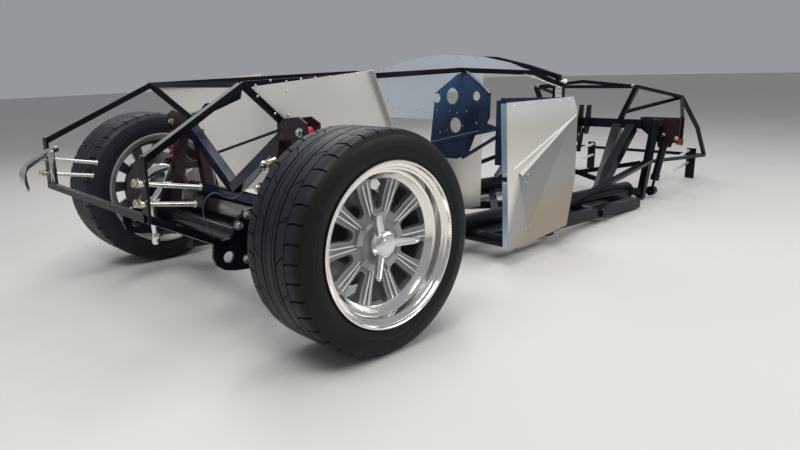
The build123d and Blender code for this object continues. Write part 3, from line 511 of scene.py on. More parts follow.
def addBolt(bm, place, direction, across=0.017, head=0.008, washer=0.012, look="zincPlate"):
    # A washer and a hexagon head that stand on a face, with the shank's end showing
    f = fastenerShape
    place, direction = Vector(place), Vector(direction).normalized()
    under, top = place + direction * f["washerTop"], place + direction * (f["washerTop"] + head)
    first = addRod(bm, place - direction * f["sunk"], under, washer, soften=f["edge"])
    addHex(bm, under, top, across)
    addRod(bm, top, place + direction * (f["washerTop"] + f["shankOut"] + head), across * f["shankShare"],
           soften=f["edge"], sides=12)
    paint(bm, first, look)


def addRivet(bm, place, direction, radius=0.0042):
    place, direction = Vector(place), Vector(direction).normalized()
    for low, high, foot, top in (fastenerShape["rivetRim"], fastenerShape["rivetHead"]):
        addRod(bm, place + direction * low, place + direction * high, radius * foot, radius * top, sides=12)


def addBall(bm, place, radius, around=20, rings=12):
    bmesh.ops.create_uvsphere(bm, u_segments=around, v_segments=rings, radius=radius,
                              matrix=Matrix.Translation(place))


def addPlate(bm, outline, thickness, place, soften=0.0006, corner=0.0):
    # A flat outline in the place's own x and y, thickened along its z
    plate = bmesh.new()
    plate.faces.new([plate.verts.new((x, y, 0)) for x, y in outline])
    if corner:
        roundOff(plate, plate.verts[:], corner, segments=5, affect="VERTICES")
    grown = bmesh.ops.extrude_face_region(plate, geom=plate.faces[:])
    lifted = [item for item in grown["geom"] if isinstance(item, bmesh.types.BMVert)]
    bmesh.ops.translate(plate, vec=(0, 0, thickness), verts=lifted)
    bmesh.ops.recalc_face_normals(plate, faces=plate.faces)
    if soften:
        rims = [edge for edge in plate.edges if abs(edge.verts[0].co.z - edge.verts[1].co.z) < 0.000001]
        roundOff(plate, rims, soften)
    return joinPart(bm, plate, place)


def addSpun(bm, profile, steps, closed=False):
    # A profile of (side, radius) turned about the y axis through the origin
    first = len(bm.faces)
    points = [bm.verts.new((radius, side, 0)) for side, radius in profile]
    edges = [bm.edges.new(pair) for pair in zip(points, points[1:])]
    if closed:
        edges.append(bm.edges.new((points[-1], points[0])))
    bmesh.ops.spin(bm, geom=points + edges, cent=(0, 0, 0), axis=(0, 1, 0), angle=2 * math.pi, steps=steps,
                   use_merge=True)
    return first


def addRoute(bm, points, radius):
    # A pipe on one smooth curve through the points' hull
    curve = bpy.data.curves.new("route", "CURVE")
    curve.dimensions = "3D"
    spline = curve.splines.new("NURBS")
    spline.points.add(len(points) - 1)
    for point, place in zip(spline.points, points):
        point.co = (*place, 1)
    spline.order_u = 3
    spline.use_endpoint_u = True
    curve.resolution_u = 8
    curve.bevel_depth = radius
    curve.bevel_resolution = 3
    curve.use_fill_caps = True
    holder = bpy.data.objects.new("route", curve)
    takeMesh(bm, bpy.data.meshes.new_from_object(holder))
    bpy.data.objects.remove(holder)
    bpy.data.curves.remove(curve)


def sidePlace(y):
    # A plane that faces the car's side: its x runs forward and its y up
    return Matrix(((1, 0, 0, 0), (0, 0, -1, y), (0, 1, 0, 0), (0, 0, 0, 1)))


bothSigns = (1, -1)
pairSides = ((1, "left"), (-1, "right"))


# Tyre: a turned section whose grid is swept and bunched into blocks, then slots are inset and sunk
tyreShape = {
    "axleHeight": 0.318,
    "axleSide": 0.7175,
    "pitches": 40,
    "columns": (0.0, 0.13, 0.44, 0.56, 0.8),  # grid lines inside one pitch: a shoulder slot and a slanted cut
    "sweep": -0.21,
    "sweepFrom": 0.092,
    "sweepPower": 1.6,
    # half the section from the middle of the tread to the bead: side, radius
    "half": ((0.0018, 0.318), (0.0116, 0.318), (0.0160, 0.318), (0.0262, 0.318), (0.0335, 0.318),
             (0.0445, 0.318), (0.0555, 0.318), (0.0655, 0.318), (0.0700, 0.318), (0.079, 0.3179),
             (0.088, 0.3175), (0.0975, 0.3168), (0.1045, 0.3152), (0.111, 0.3113), (0.1162, 0.3065),
             (0.1195, 0.3008), (0.1208, 0.2995), (0.1215, 0.2975), (0.1236, 0.292), (0.1262, 0.279),
             (0.1266, 0.2745), (0.127, 0.2735), (0.1269, 0.268), (0.1262, 0.2625), (0.1268, 0.2618),
             (0.1266, 0.2598), (0.1256, 0.2588), (0.1245, 0.2495), (0.122, 0.2425), (0.1222, 0.2405),
             (0.1205, 0.2395), (0.1185, 0.2372), (0.117, 0.2338), (0.112, 0.2172)),
    "grooves": ((0.0, 0.0020), (0.0116, 0.0160), (0.0655, 0.0700)),
    "shallowGroove": (0.0262, 0.0336),
    "shoulderSlot": (0.0700, 0.1165),
    "slantedCut": (0.0335, 0.0655),
    "treadFrom": 0.3,  # faces at a smaller radius have no tread
    "wall": 0.0005,  # of a slot
    "deep": 0.0065,
    "shallow": 0.0045,
}


def treadedTyre(t):
    bm = bmesh.new()
    half = list(t["half"])
    perPitch = len(t["columns"])
    steps = t["pitches"] * perPitch
    addSpun(bm, [(-side, radius) for side, radius in reversed(half)] + half, steps, closed=True)
    bmesh.ops.recalc_face_normals(bm, faces=bm.faces)

    def columnOf(x, z):
        return math.atan2(z, x) / (2 * math.pi) * steps % steps

    sunk = {"deep": [], "shallow": []}
    for face in bm.faces:
        middle = face.calc_center_median()
        if math.hypot(middle.x, middle.z) < t["treadFrom"]:
            continue
        across = abs(middle.y)
        column = int(columnOf(middle.x, middle.z))
        if any(low < across < high for low, high in t["grooves"]):
            sunk["deep"].append(face)
        elif t["shallowGroove"][0] < across < t["shallowGroove"][1]:
            sunk["shallow"].append(face)
        elif column % perPitch == 0 and t["shoulderSlot"][0] < across < t["shoulderSlot"][1]:
            sunk["deep"].append(face)
        elif column % (2 * perPitch) == 2 and t["slantedCut"][0] < across < t["slantedCut"][1]:
            sunk["shallow"].append(face)
    for vert in bm.verts:
        radius = math.hypot(vert.co.x, vert.co.z)
        column = round(columnOf(vert.co.x, vert.co.z)) % steps
        across = abs(vert.co.y)
        place = column // perPitch + t["columns"][column % perPitch]
        reach = max(0, 1 - across / t["sweepFrom"])
        angle = place / t["pitches"] * 2 * math.pi + t["sweep"] * reach ** t["sweepPower"]
        vert.co.x, vert.co.z = radius * math.cos(angle), radius * math.sin(angle)
    bm.normal_update()
    for kind, faces in sunk.items():
        bmesh.ops.inset_region(bm, faces=faces, thickness=t["wall"], depth=0, use_even_offset=True)
        grown = bmesh.ops.extrude_face_region(bm, geom=faces)
        bmesh.ops.delete(bm, geom=faces, context="FACES")
        for vert in {item for item in grown["geom"] if isinstance(item, bmesh.types.BMVert)}:
            share = 1 - t[kind] / math.hypot(vert.co.x, vert.co.z)
            vert.co.x *= share
            vert.co.z *= share
    bmesh.ops.translate(bm, vec=(0, t["axleSide"], t["axleHeight"]), verts=bm.verts)
    return bm


for sign, side in pairSides:
    finishPiece(f"treaded_tyre_{side}", treadedTyre(tyreShape), ["tyreRubber"], f"wheel_{side}_body",
                (f"tyre_{side}",), sharp=38, flip=sign < 0)
print("tyres ready")

# Rim: a polished stepped barrel, ten painted spokes cut by rounded windows, thin polished ribs
rimShape = {
    "axleHeight": 0.318,
    "axleSide": 0.7175,
    "steps": 120,
    "barrel": ((-0.125, 0.2325), (-0.1245, 0.2335), (-0.117, 0.2335), (-0.112, 0.216), (-0.07, 0.216),
               (-0.055, 0.194), (0.025, 0.194), (0.05, 0.216), (0.112, 0.216), (0.117, 0.2335),
               (0.1244, 0.2335), (0.125, 0.2328), (0.125, 0.2296), (0.1238, 0.2278), (0.1195, 0.2262),
               (0.1165, 0.2248), (0.1148, 0.2222), (0.1140, 0.2180), (0.1128, 0.2158), (0.1100, 0.2142),
               (0.1084, 0.2112), (0.1070, 0.2078), (0.1040, 0.2066), (0.0880, 0.2056), (0.0850, 0.2044),
               (0.0835, 0.2018), (0.0822, 0.1975), (0.0795, 0.1956), (0.0700, 0.1866), (0.0660, 0.1824),
               (0.0645, 0.1806), (0.0420, 0.1800), (0.0250, 0.186), (-0.055, 0.186), (-0.07, 0.208),
               (-0.112, 0.208), (-0.125, 0.226)),
    "spokeRing": ((0.0650, 0.1812), (0.0652, 0.1770), (0.0636, 0.1700), (0.0592, 0.1500), (0.0578, 0.1350),
                  (0.0572, 0.1000), (0.0582, 0.0800), (0.0620, 0.0680), (0.0690, 0.0635), (0.0712, 0.0610),
                  (0.0712, 0.0176), (0.0282, 0.0176), (0.0282, 0.0655), (0.0370, 0.0900), (0.0370, 0.1600),
                  (0.0430, 0.1812)),
    "windows": 10,
    "windowInner": (0.0935, 0.0130),  # radius, half width
    "windowOuter": (0.1785, 0.0320),
    "windowRound": 0.0105,
    "cut": (0.01, 0.09),  # side where the windows' cut starts, and its length
    "weld": 0.0002,
    "edgeLine": 0.0016,
    "edgeAngle": 1.0,
    "edgeFrom": 0.05,  # side past which the windows' edges are bright
    "edgeRadii": (0.088, 0.1778),
    "ribs": {"from": 0.080, "to": 0.1785, "spreadIn": 0.0042, "spreadOut": 0.0090, "width": 0.0040,
             "rise": 0.0048, "side": 0.0568, "climbFrom": 0.136, "climb": 0.17, "soften": 0.0009},
    "pocket": {"inner": (0.040, 0.017), "outer": (0.084, 0.0245), "low": 0.055, "high": 0.0685,
               "soften": 0.0025},
    "well": (-0.1135, 0.06, 0.2085),  # from side, to side, below radius
    "flangeSide": -0.11,
}
rimLooks = ["spokeGrey", "polishedLip", "spokePocket", "ribBright", "wellGrey", "castSatin"]


def cutAway(bm, cutter):
    # The first shape less the second
    holders = []
    for name, shape in (("kept", bm), ("cutter", cutter)):
        bmesh.ops.recalc_face_normals(shape, faces=shape.faces)
        holders.append(bpy.data.objects.new(name, meshOf(name, shape)))
        bpy.context.scene.collection.objects.link(holders[-1])
    cut = holders[0].modifiers.new("cut", "BOOLEAN")
    cut.operation = "DIFFERENCE"
    cut.solver = "EXACT"
    cut.object = holders[1]
    graph = bpy.context.evaluated_depsgraph_get()
    result = takeMesh(bmesh.new(), bpy.data.meshes.new_from_object(holders[0].evaluated_get(graph)))
    for holder in holders:
        old = holder.data
        bpy.data.objects.remove(holder)
        bpy.data.meshes.remove(old)
    return result


def lift(bm, firstFace, start, slope):
    # Moves a part's far end outwards, the more the further it lies past a radius
    bm.faces.ensure_lookup_table()
    for vert in {v for face in bm.faces[firstFace:] for v in face.verts}:
        vert.co.y += max(0, math.hypot(vert.co.x, vert.co.z) - start) * slope


def wheelFace(angle, side):
    # A plane on the wheel's face: x runs outwards along a radius, z to the outer side
    return (Matrix.Rotation(angle, 4, "Y") @ Matrix.Translation((0, side, 0))
            @ Matrix(((1, 0, 0, 0), (0, 0, 1, 0), (0, -1, 0, 0), (0, 0, 0, 1))))


def flared(inner, outer):
    # The outline of a window or a pocket, from its radius and half width at both ends
    (start, startHalf), (end, endHalf) = inner, outer
    return [(start, -startHalf), (end, -endHalf), (end, endHalf), (start, startHalf)]


def spokedRim(s):
    ring = bmesh.new()
    addSpun(ring, s["spokeRing"], s["steps"], closed=True)
    cutter = bmesh.new()
    cutFrom, cutLength = s["cut"]
    for number in range(s["windows"]):
        angle = (number + 0.5) / s["windows"] * 2 * math.pi
        addPlate(cutter, flared(s["windowInner"], s["windowOuter"]), cutLength, wheelFace(angle, cutFrom),
                 soften=0, corner=s["windowRound"])
    bm = cutAway(ring, cutter)
    bmesh.ops.remove_doubles(bm, verts=bm.verts, dist=s["weld"])
    bm.normal_update()
    # Thin bright lines along the windows' front edges
    low, high = s["edgeRadii"]
    edges = [edge for edge in bm.edges
             if len(edge.link_faces) == 2 and edge.calc_face_angle() > s["edgeAngle"]
             and min(v.co.y for v in edge.verts) > s["edgeFrom"]
             and low < min(math.hypot(v.co.x, v.co.z) for v in edge.verts)
             and max(math.hypot(v.co.x, v.co.z) for v in edge.verts) < high]
    lined = bmesh.ops.bevel(bm, geom=edges, offset=s["edgeLine"], segments=1, profile=0.5, affect="EDGES",
                            material=-1, clamp_overlap=True)
    for face in lined["faces"]:
        face.material_index = lookNumbers["ribBright"]
    bm = takeMesh(bmesh.new(), meshOf("ring", bm))  # counts the faces anew, so that later ones come last
    ribs, pocket = s["ribs"], s["pocket"]
    for number in range(s["windows"]):
        angle = number / s["windows"] * 2 * math.pi
        for across in (1, -1):
            low, high, half = across * ribs["spreadIn"], across * ribs["spreadOut"], ribs["width"] / 2
            first = addPlate(bm, [(ribs["from"], low - half), (ribs["to"], high - half),
                                  (ribs["to"], high + half), (ribs["from"], low + half)], ribs["rise"],
                             wheelFace(angle, ribs["side"]), soften=ribs["soften"])
            lift(bm, first, ribs["climbFrom"], ribs["climb"])  # the ribs climb with the spoke's dish
            paint(bm, first, "ribBright")
    for number in range(0, s["windows"], 2):
        angle = -(number + 0.5) / s["windows"] * 2 * math.pi
        first = addPlate(bm, flared(pocket["inner"], pocket["outer"]), pocket["high"] - pocket["low"],
                         wheelFace(angle, pocket["low"]), soften=pocket["soften"])
        paint(bm, first, "spokePocket")
    first = addSpun(bm, s["barrel"], s["steps"], closed=True)
    paint(bm, first, "polishedLip")
    rear, front, reach = s["well"]
    # the well's dark grey stands for paint and for painted shade inside the barrel
    for face in bm.faces[first:]:  # the well behind the spokes is painted, its inner flange is bare
        middle = face.calc_center_median()
        if rear < middle.y < front and math.hypot(middle.x, middle.z) < reach:
            face.material_index = lookNumbers["wellGrey"]
        elif middle.y < s["flangeSide"]:
            face.material_index = lookNumbers["castSatin"]
    bmesh.ops.translate(bm, vec=(0, s["axleSide"], s["axleHeight"]), verts=bm.verts)
    return bm


for sign, side in pairSides:
    finishPiece(f"spoked_rim_{side}", spokedRim(rimShape), rimLooks, f"wheel_{side}_body",
                (f"rim_{side}",), sharp=28, flip=sign < 0)
print("rims ready")

# Knock-off nut: a domed boss and three ears, each a flat bar with a rounded nose and a sunk middle
nutShape = {
    "axleHeight": 0.318,
    "axleSide": 0.7175,
    "steps": 72,
    "boss": ((0.0711, 0.0), (0.0711, 0.0430), (0.0735, 0.0440), (0.0800, 0.0435), (0.0830, 0.0415),
             (0.0930, 0.0380), (0.0955, 0.0360), (0.0995, 0.0285), (0.1010, 0.0250), (0.1010, 0.0205),
             (0.1022, 0.0195), (0.1028, 0.0170), (0.1028, 0.0)),
    "ear": ((0.012, -0.0165), (0.034, -0.0128), (0.088, -0.0106), (0.0985, -0.0085), (0.1035, -0.0045),
            (0.1045, 0.0), (0.1035, 0.0045), (0.0985, 0.0085), (0.088, 0.0106), (0.034, 0.0128),
            (0.012, 0.0165)),
    "ears": 3,
    "earFace": 0.0785,
    "earThick": 0.0135,
    "earSoften": 0.0022,
    "rimWidth": 0.0035,
    "sink": (0.0012, -0.002),
    "leanFrom": 0.03,
    "lean": 0.38,
}


def knockOffNut(n):
    bm = bmesh.new()
    addSpun(bm, n["boss"], n["steps"])
    for number in range(n["ears"]):
        place = wheelFace(math.pi + number * 2 * math.pi / n["ears"], n["earFace"])
        first = addPlate(bm, n["ear"], n["earThick"], place, soften=n["earSoften"])
        bm.faces.ensure_lookup_table()
        tops = [face for face in bm.faces[first:] if face.normal.y > 0.99 and len(face.verts) > 6]
        for thickness, depth in ((n["rimWidth"], 0), n["sink"]):
            bmesh.ops.inset_region(bm, faces=tops, thickness=thickness, depth=depth, use_even_offset=True)
        lift(bm, first, n["leanFrom"], n["lean"])
    bmesh.ops.translate(bm, vec=(0, n["axleSide"], n["axleHeight"]), verts=bm.verts)
    return bm


for sign, side in pairSides:
    finishPiece(f"eared_nut_{side}", knockOffNut(nutShape), ["satinPolish"], f"wheel_{side}_body",
                (f"wheel_nut_{side}",), flip=sign < 0)
print("nuts ready")


def addTurned(bm, profile, start, direction, steps=32, look=None, closed=False):
    # A profile of (along, radius) turned about a line from a starting place
    part = bmesh.new()
    addSpun(part, profile, steps, closed=closed)
    bmesh.ops.remove_doubles(part, verts=part.verts, dist=0.000005)
    turn = Vector((0, 1, 0)).rotation_difference(Vector(direction).normalized()).to_matrix().to_4x4()
    joinPart(bm, part, Matrix.Translation(start) @ turn, look)


def sided(place, sign):
    return Vector((place[0], sign * place[1], place[2]))


# Coil-overs: sleeved eyes, a polished rod, a threaded body with two collars, a wound spring between caps
coilShape = {
    "top": (-0.007, 0.445, 0.605),
    "foot": (-0.007, 0.512, 0.224),
    "bush": ((-0.0175, 0.008), (-0.0175, 0.0145), (-0.0145, 0.0165), (-0.006, 0.0165), (-0.004, 0.0152),
             (0.004, 0.0152), (0.006, 0.0165), (0.0145, 0.0165), (0.0175, 0.0145), (0.0175, 0.008)),
    "sleeve": ((-0.019, 0.0064), (-0.019, 0.009), (0.019, 0.009), (0.019, 0.0064)),
    "wire": 0.0052,
    "coilRadius": 0.0285,
    "turns": 8,
    "stepsPerTurn": 28,
    "coilFrom": 0.052,
    "coilTo": 0.252,
    "body": ((0.205, 0.0), (0.205, 0.0165), (0.209, 0.0205), (0.30, 0.0205), (0.304, 0.0235), (0.350, 0.0235),
             (0.358, 0.018), (0.358, 0.0)),
    "cap": ((0.024, 0.0), (0.024, 0.013), (0.040, 0.0165), (0.044, 0.0325), (0.050, 0.0335), (0.053, 0.0325),
            (0.053, 0.0)),
    "collar": ((0.0, 0.020), (0.0, 0.0325), (0.002, 0.034), (0.010, 0.034), (0.012, 0.0325), (0.012, 0.020)),
    "collars": (0.2525, 0.267),
    "rod": 0.008,
    "rodInset": 0.01,
    "bumper": ((0.150, 0.0), (0.150, 0.0145), (0.158, 0.0165), (0.180, 0.0165), (0.196, 0.0125),
               (0.205, 0.0125), (0.205, 0.0)),
}


def addSpring(bm, s, start, direction):
    part = bmesh.new()
    bmesh.ops.create_circle(part, cap_ends=True, segments=10, radius=s["wire"],
                            matrix=Matrix.Translation((s["coilRadius"], 0, 0))
                            @ Matrix.Rotation(math.pi / 2, 4, "X"))
    length = s["coilTo"] - s["coilFrom"] - 2 * s["wire"]
    steps = s["turns"] * s["stepsPerTurn"]
    bmesh.ops.spin(part, geom=part.verts[:] + part.edges[:] + part.faces[:], cent=(0, 0, 0), axis=(0, 0, 1),
                   dvec=(0, 0, length / steps), angle=2 * math.pi * s["turns"], steps=steps, use_merge=False)
    bmesh.ops.recalc_face_normals(part, faces=part.faces)
    direction = Vector(direction).normalized()
    turn = Vector((0, 0, 1)).rotation_difference(direction).to_matrix().to_4x4()
    foot = Vector(start) + direction * (s["coilFrom"] + s["wire"])
    joinPart(bm, part, Matrix.Translation(foot) @ turn)


def coilOvers(s):
    bm = bmesh.new()
    for sign in bothSigns:
        top, foot = sided(s["top"], sign), sided(s["foot"], sign)
        along = (foot - top).normalized()
        for eye in (top, foot):
            addTurned(bm, s["bush"], eye, (1, 0, 0), steps=28, look="redRubber", closed=True)
            addTurned(bm, s["sleeve"], eye, (1, 0, 0), steps=20, look="zincPlate", closed=True)
        addSpring(bm, s, top, along)
        addTurned(bm, s["cap"], top, along)
        addTurned(bm, s["body"], top, along, look="castSatin")
        addTurned(bm, s["bumper"], top, along, steps=24, look="blackRubber")
        for place in s["collars"]:
            addTurned(bm, s["collar"], top + along * place, along, closed=True)
        first = addRod(bm, top + along * s["rodInset"], foot - along * s["rodInset"], s["rod"])
        paint(bm, first, "polishedSteel")
    return bm


finishPiece("coil_overs", coilOvers(coilShape),
            ["redAnodised", "redRubber", "zincPlate", "castSatin", "blackRubber", "polishedSteel"], "chassis",
            ("front_coil_overs",))
print("coil-overs ready")

# Tower fasteners: the damper's top bolt, its washers, and the upper arms' pivot nuts
towerParts = {
    "across": 0.019,
    # place, head height, washer radius
    "bolts": ((0.020, 0.445, 0.605, 0.009, 0.0145), (-0.034, 0.445, 0.605, 0.011, 0.0145),
              (0.132, 0.378, 0.438, 0.008, 0.015), (-0.132, 0.378, 0.438, 0.008, 0.015)),
}


def towerFasteners(t):
    bm = bmesh.new()
    for sign in bothSigns:
        for x, y, z, head, washer in t["bolts"]:
            addBolt(bm, (x, sign * y, z), (x, 0, 0), across=t["across"], head=head, washer=washer)
    return bm


finishPiece("tower_fasteners", towerFasteners(towerParts), ["zincPlate"], "chassis")

# Nose details: jack rod nuts and washers, bracket bolts, the left top tube's gusset, a thin cross tube
noseParts = {
    "nuts": ((0.519, 0.420, 0.4985), (0.519, 0.420, 0.4450)),
    "nutHalf": (0.006, 0, 0.001),
    "nutAcross": 0.0185,
    "nutWasher": (0.003, 0, 0.0005),
    "nutWasherRadius": 0.0122,
    "endWashers": ((0.334, 0.408, 0.4675), (0.352, 0.408, 0.4213)),
    "endWasherRadius": 0.0095,
    "gusset": ((0.286, 0.660), (0.160, 0.727), (0.176, 0.7225), (0.156, 0.708), (0.158, 0.7015),
               (0.262, 0.6945), (0.272, 0.684)),
    "gussetSide": 0.329,
    "gussetThick": 0.004,
    "thinTube": ((0.006, 0.345, 0.614), (0.0, -0.105, 0.506)),
    "thinRadius": 0.005,
    "bracketBolts": ((0.195, 0.358, 0.328), (0.165, 0.358, 0.358), (0.173, 0.358, 0.220),
                     (0.100, 0.358, 0.226)),
}


def noseFasteners(n):
    bm = bmesh.new()
    half, washer = Vector(n["nutHalf"]), Vector(n["nutWasher"])
    for sign in bothSigns:
        for place in n["nuts"]:
            place = sided(place, sign)
            first = addHex(bm, place - half, place + half, n["nutAcross"])
            addRod(bm, place - half - washer, place - half, n["nutWasherRadius"], soften=0.0005)
            paint(bm, first, "goldZinc")
        for place in n["endWashers"]:
            place = sided(place, sign)
            addRod(bm, place, place + washer, n["endWasherRadius"], soften=0.0006)
        for place in n["bracketBolts"]:
            addBolt(bm, sided(place, sign), (0, sign, 0), across=0.018, head=0.008, washer=0.0145)
    return bm


finishPiece("nose_fasteners", noseFasteners(noseParts), ["zincPlate", "goldZinc"], "chassis")


def noseGussets(n):
    bm = bmesh.new()
    addPlate(bm, n["gusset"], n["gussetThick"], sidePlace(n["gussetSide"]))
    addRod(bm, *n["thinTube"], n["thinRadius"], sides=16)
    return bm


finishPiece("nose_gussets", noseGussets(noseParts), ["blackGloss"], "chassis")
print("tower and nose details ready")

# Bonnet hinge arms of polished flat bar: the left one folded, the right one swung open and forward
hingeShape = {
    "thick": 0.0056,
    "half": 0.0108,
    "steps": 8,
    "soften": 0.0012,
    "arms": (
        # side, route as (forward, height)
        (0.399, ((0.4865, 0.4985), (0.476, 0.512), (0.452, 0.530), (0.420, 0.529), (0.414, 0.505),
                 (0.430, 0.483), (0.450, 0.4625), (0.465, 0.438))),
        (0.3935, ((0.466, 0.444), (0.468, 0.400), (0.461, 0.362), (0.465, 0.332))),
        (-0.399, ((0.470, 0.527), (0.500, 0.519), (0.540, 0.492), (0.5825, 0.462), (0.5815, 0.425),
                  (0.577, 0.395))),
        (-0.3935, ((0.488, 0.514), (0.487, 0.470), (0.486, 0.404))),
    ),
    "bolts": ((0.466, 0.402, 0.440), (0.463, 0.399, 0.346), (0.484, -0.402, 0.519), (0.488, -0.397, 0.410)),
}


def smoothed(route, steps):
    # A rounded path: each corner is replaced by a curve from the middle of one leg to the middle of the next
    points = [Vector(place) for place in route]
    path = [points[0]]
    for before, corner, after in zip(points, points[1:], points[2:]):
        start, end = (before + corner) / 2, (corner + after) / 2
        for step in range(steps + 1):
            share = step / steps
            path.append(start * (1 - share) ** 2 + corner * 2 * share * (1 - share) + end * share ** 2)
    path.append(points[-1])
    return [point for point, last in zip(path, [None] + path)
            if last is None or (point - last).length > 0.0004]


def ribbon(route, half, steps):
    # The outline of a flat bar of even width along a path, with rounded ends
    path = smoothed(route, steps)
    left, right = [], []
    for number, point in enumerate(path):
        run = (path[min(number + 1, len(path) - 1)] - path[max(number - 1, 0)]).normalized()
        across = Vector((-run.y, run.x)) * half
        left.append(point + across)
        right.append(point - across)
    caps = []
    capAngles = (0.5, 1.1, math.pi - 1.1, math.pi - 0.5)
    for point, run in ((path[-1], path[-1] - path[-2]), (path[0], path[0] - path[1])):
        out = run.normalized() * half
        across = Vector((-out.y, out.x))
        caps.append([point + across * math.cos(a) + out * math.sin(a) for a in capAngles])
    return [tuple(point) for point in left + caps[0] + right[::-1] + caps[1]]


def hingeArms(h):
    bm = bmesh.new()
    for y, route in h["arms"]:
        addPlate(bm, ribbon(route, h["half"], h["steps"]), h["thick"], sidePlace(y + h["thick"] / 2),
                 soften=h["soften"])
    for place in h["bolts"]:
        addBolt(bm, place, (0, place[1], 0), across=0.012, head=0.005, washer=0.0085)
    return bm


finishPiece("hinge_arms", hingeArms(hingeShape), ["polishedSteel", "zincPlate"], "chassis",
            ("bonnet_hinges",))

# Brake hard line from the side plate up to a fitting on the tower's front leg
lineShape = {
    "route": ((0.262, 0.3435, 0.284), (0.286, 0.342, 0.330), (0.302, 0.342, 0.385), (0.290, 0.343, 0.422),
              (0.262, 0.347, 0.440), (0.230, 0.358, 0.418), (0.204, 0.368, 0.412), (0.174, 0.385, 0.448),
              (0.145, 0.407, 0.484), (0.137, 0.417, 0.508)),
    "radius": 0.0019,
    "tab": ((0.036, 0.366, 0.503), (0.146, 0.424, 0.508)),
    "tabSize": (0.022, 0.003),
    "fitting": ((0.136, 0.420, 0.497), (0.136, 0.420, 0.517)),
    "fittingBall": 0.0105,
    "fittingNeck": 0.006,
    "adapter": ((0.129, 0.426, 0.519), (0.106, 0.446, 0.531)),
    "adapterAcross": 0.013,
    "adapterRadius": 0.0085,
}


def hardLine(s):
    bm = bmesh.new()
    addRoute(bm, s["route"], s["radius"])
    first = addBar(bm, *s["tab"], *s["tabSize"])
    paint(bm, first, "blackGloss")
    first = addRod(bm, *s["fitting"], s["fittingNeck"], sides=16)
    addBall(bm, s["fitting"][1], s["fittingBall"])
    paint(bm, first, "zincPlate")
    first = addHex(bm, *s["adapter"], s["adapterAcross"])
    addRod(bm, *s["adapter"], s["adapterRadius"], soften=0.001)
    paint(bm, first, "goldZinc")
    return bm


finishPiece("brake_hard_line", hardLine(lineShape), ["wellGrey", "blackGloss", "zincPlate", "goldZinc"],
            "chassis")

# Rack bellows over the tie rods, clipped at the housing's ends
bellowsShape = {
    "x": 0.126,
    "z": 0.268,
    "from": 0.366,
    "to": 0.448,
    "folds": 7,
    "outer": 0.0265,
    "outerEnd": 0.0185,
    "foldDepth": 0.0055,
    "valleyAt": 0.35,  # shares of one fold
    "crestAt": 0.85,
    "lip": 0.002,
    "steps": 36,
    "cuff": 0.012,
    "cuffRadii": (0.0246, 0.0262),
    "smallCuffRadii": (0.0138, 0.0150),
    "wall": 0.0008,
}


def rackBellows(b):
    bm = bmesh.new()
    start, end = b["from"], b["to"]
    (inner, outer), (smallInner, smallOuter) = b["cuffRadii"], b["smallCuffRadii"]
    profile = [(start - b["cuff"], inner), (start - b["cuff"], outer), (start, outer)]
    pitch = (end - start) / b["folds"]
    for fold in range(b["folds"]):
        crest = b["outer"] + (b["outerEnd"] - b["outer"]) * fold / b["folds"]
        profile += [(start + pitch * (fold + b["valleyAt"]), crest - b["foldDepth"]),
                    (start + pitch * (fold + b["crestAt"]), crest)]
    profile += [(end + b["lip"], smallOuter), (end + b["cuff"], smallOuter), (end + b["cuff"], smallInner),
                (end, smallInner)]
    for sign in bothSigns:
        addTurned(bm, profile, (b["x"], 0, b["z"]), (0, sign, 0), steps=b["steps"])
    return bm


bellows = finishPiece("rack_bellows", rackBellows(bellowsShape), ["blackRubber"], "chassis")
thicken = bellows.modifiers.new("wall", "SOLIDIFY")
thicken.thickness = bellowsShape["wall"]
thicken.offset = 1
print("hinges, line and bellows ready")

# Blind rivets on the bare panels
sheetParts = {
    "baySide": 0.3535,
    "bayRivets": ((0.110, 0.745), (0.058, 0.760), (0.000, 0.757), (-0.055, 0.766), (-0.111, 0.769),
                  (-0.170, 0.774), (-0.230, 0.780), (-0.290, 0.786), (0.105, 0.713), (0.046, 0.660),
                  (-0.002, 0.655), (0.0, 0.728)),
    "firewallFace": -1.108,
    "firewallRivets": ((-0.412, 0.626), (-0.351, 0.620), (-0.292, 0.634), (-0.234, 0.620), (-0.171, 0.632),
                       (-0.116, 0.621), (0.412, 0.83), (0.351, 0.843), (-0.412, 0.83), (-0.351, 0.843),
                       (-0.20, 0.868), (-0.08, 0.878), (0.08, 0.878), (0.20, 0.868)),
    "footboxSide": 0.602,
    "footboxRivets": ((-0.871, 0.379), (-0.943, 0.372), (-0.956, 0.404), (-1.298, 0.371), (-0.982, 0.191),
                      (-0.957, 0.179), (-0.812, 0.414), (-0.812, 0.380), (-0.852, 0.166), (-1.224, 0.690),
                      (-1.163, 0.686), (-1.06, 0.682), (-0.95, 0.676), (-0.85, 0.672)),
    "footboxRadius": 0.0038,
}


def sheetRivets(s):
    bm = bmesh.new()
    for x, z in s["bayRivets"]:
        for sign in bothSigns:
            addRivet(bm, (x, sign * s["baySide"], z), (0, sign, 0))
    for y, z in s["firewallRivets"]:
        addRivet(bm, (s["firewallFace"], y, z), (1, 0, 0))
    for x, z in s["footboxRivets"]:
        addRivet(bm, (x, s["footboxSide"], z), (0, 1, 0), radius=s["footboxRadius"])
    return bm


finishPiece("sheet_rivets", sheetRivets(sheetParts), ["zincPlate"], "chassis")

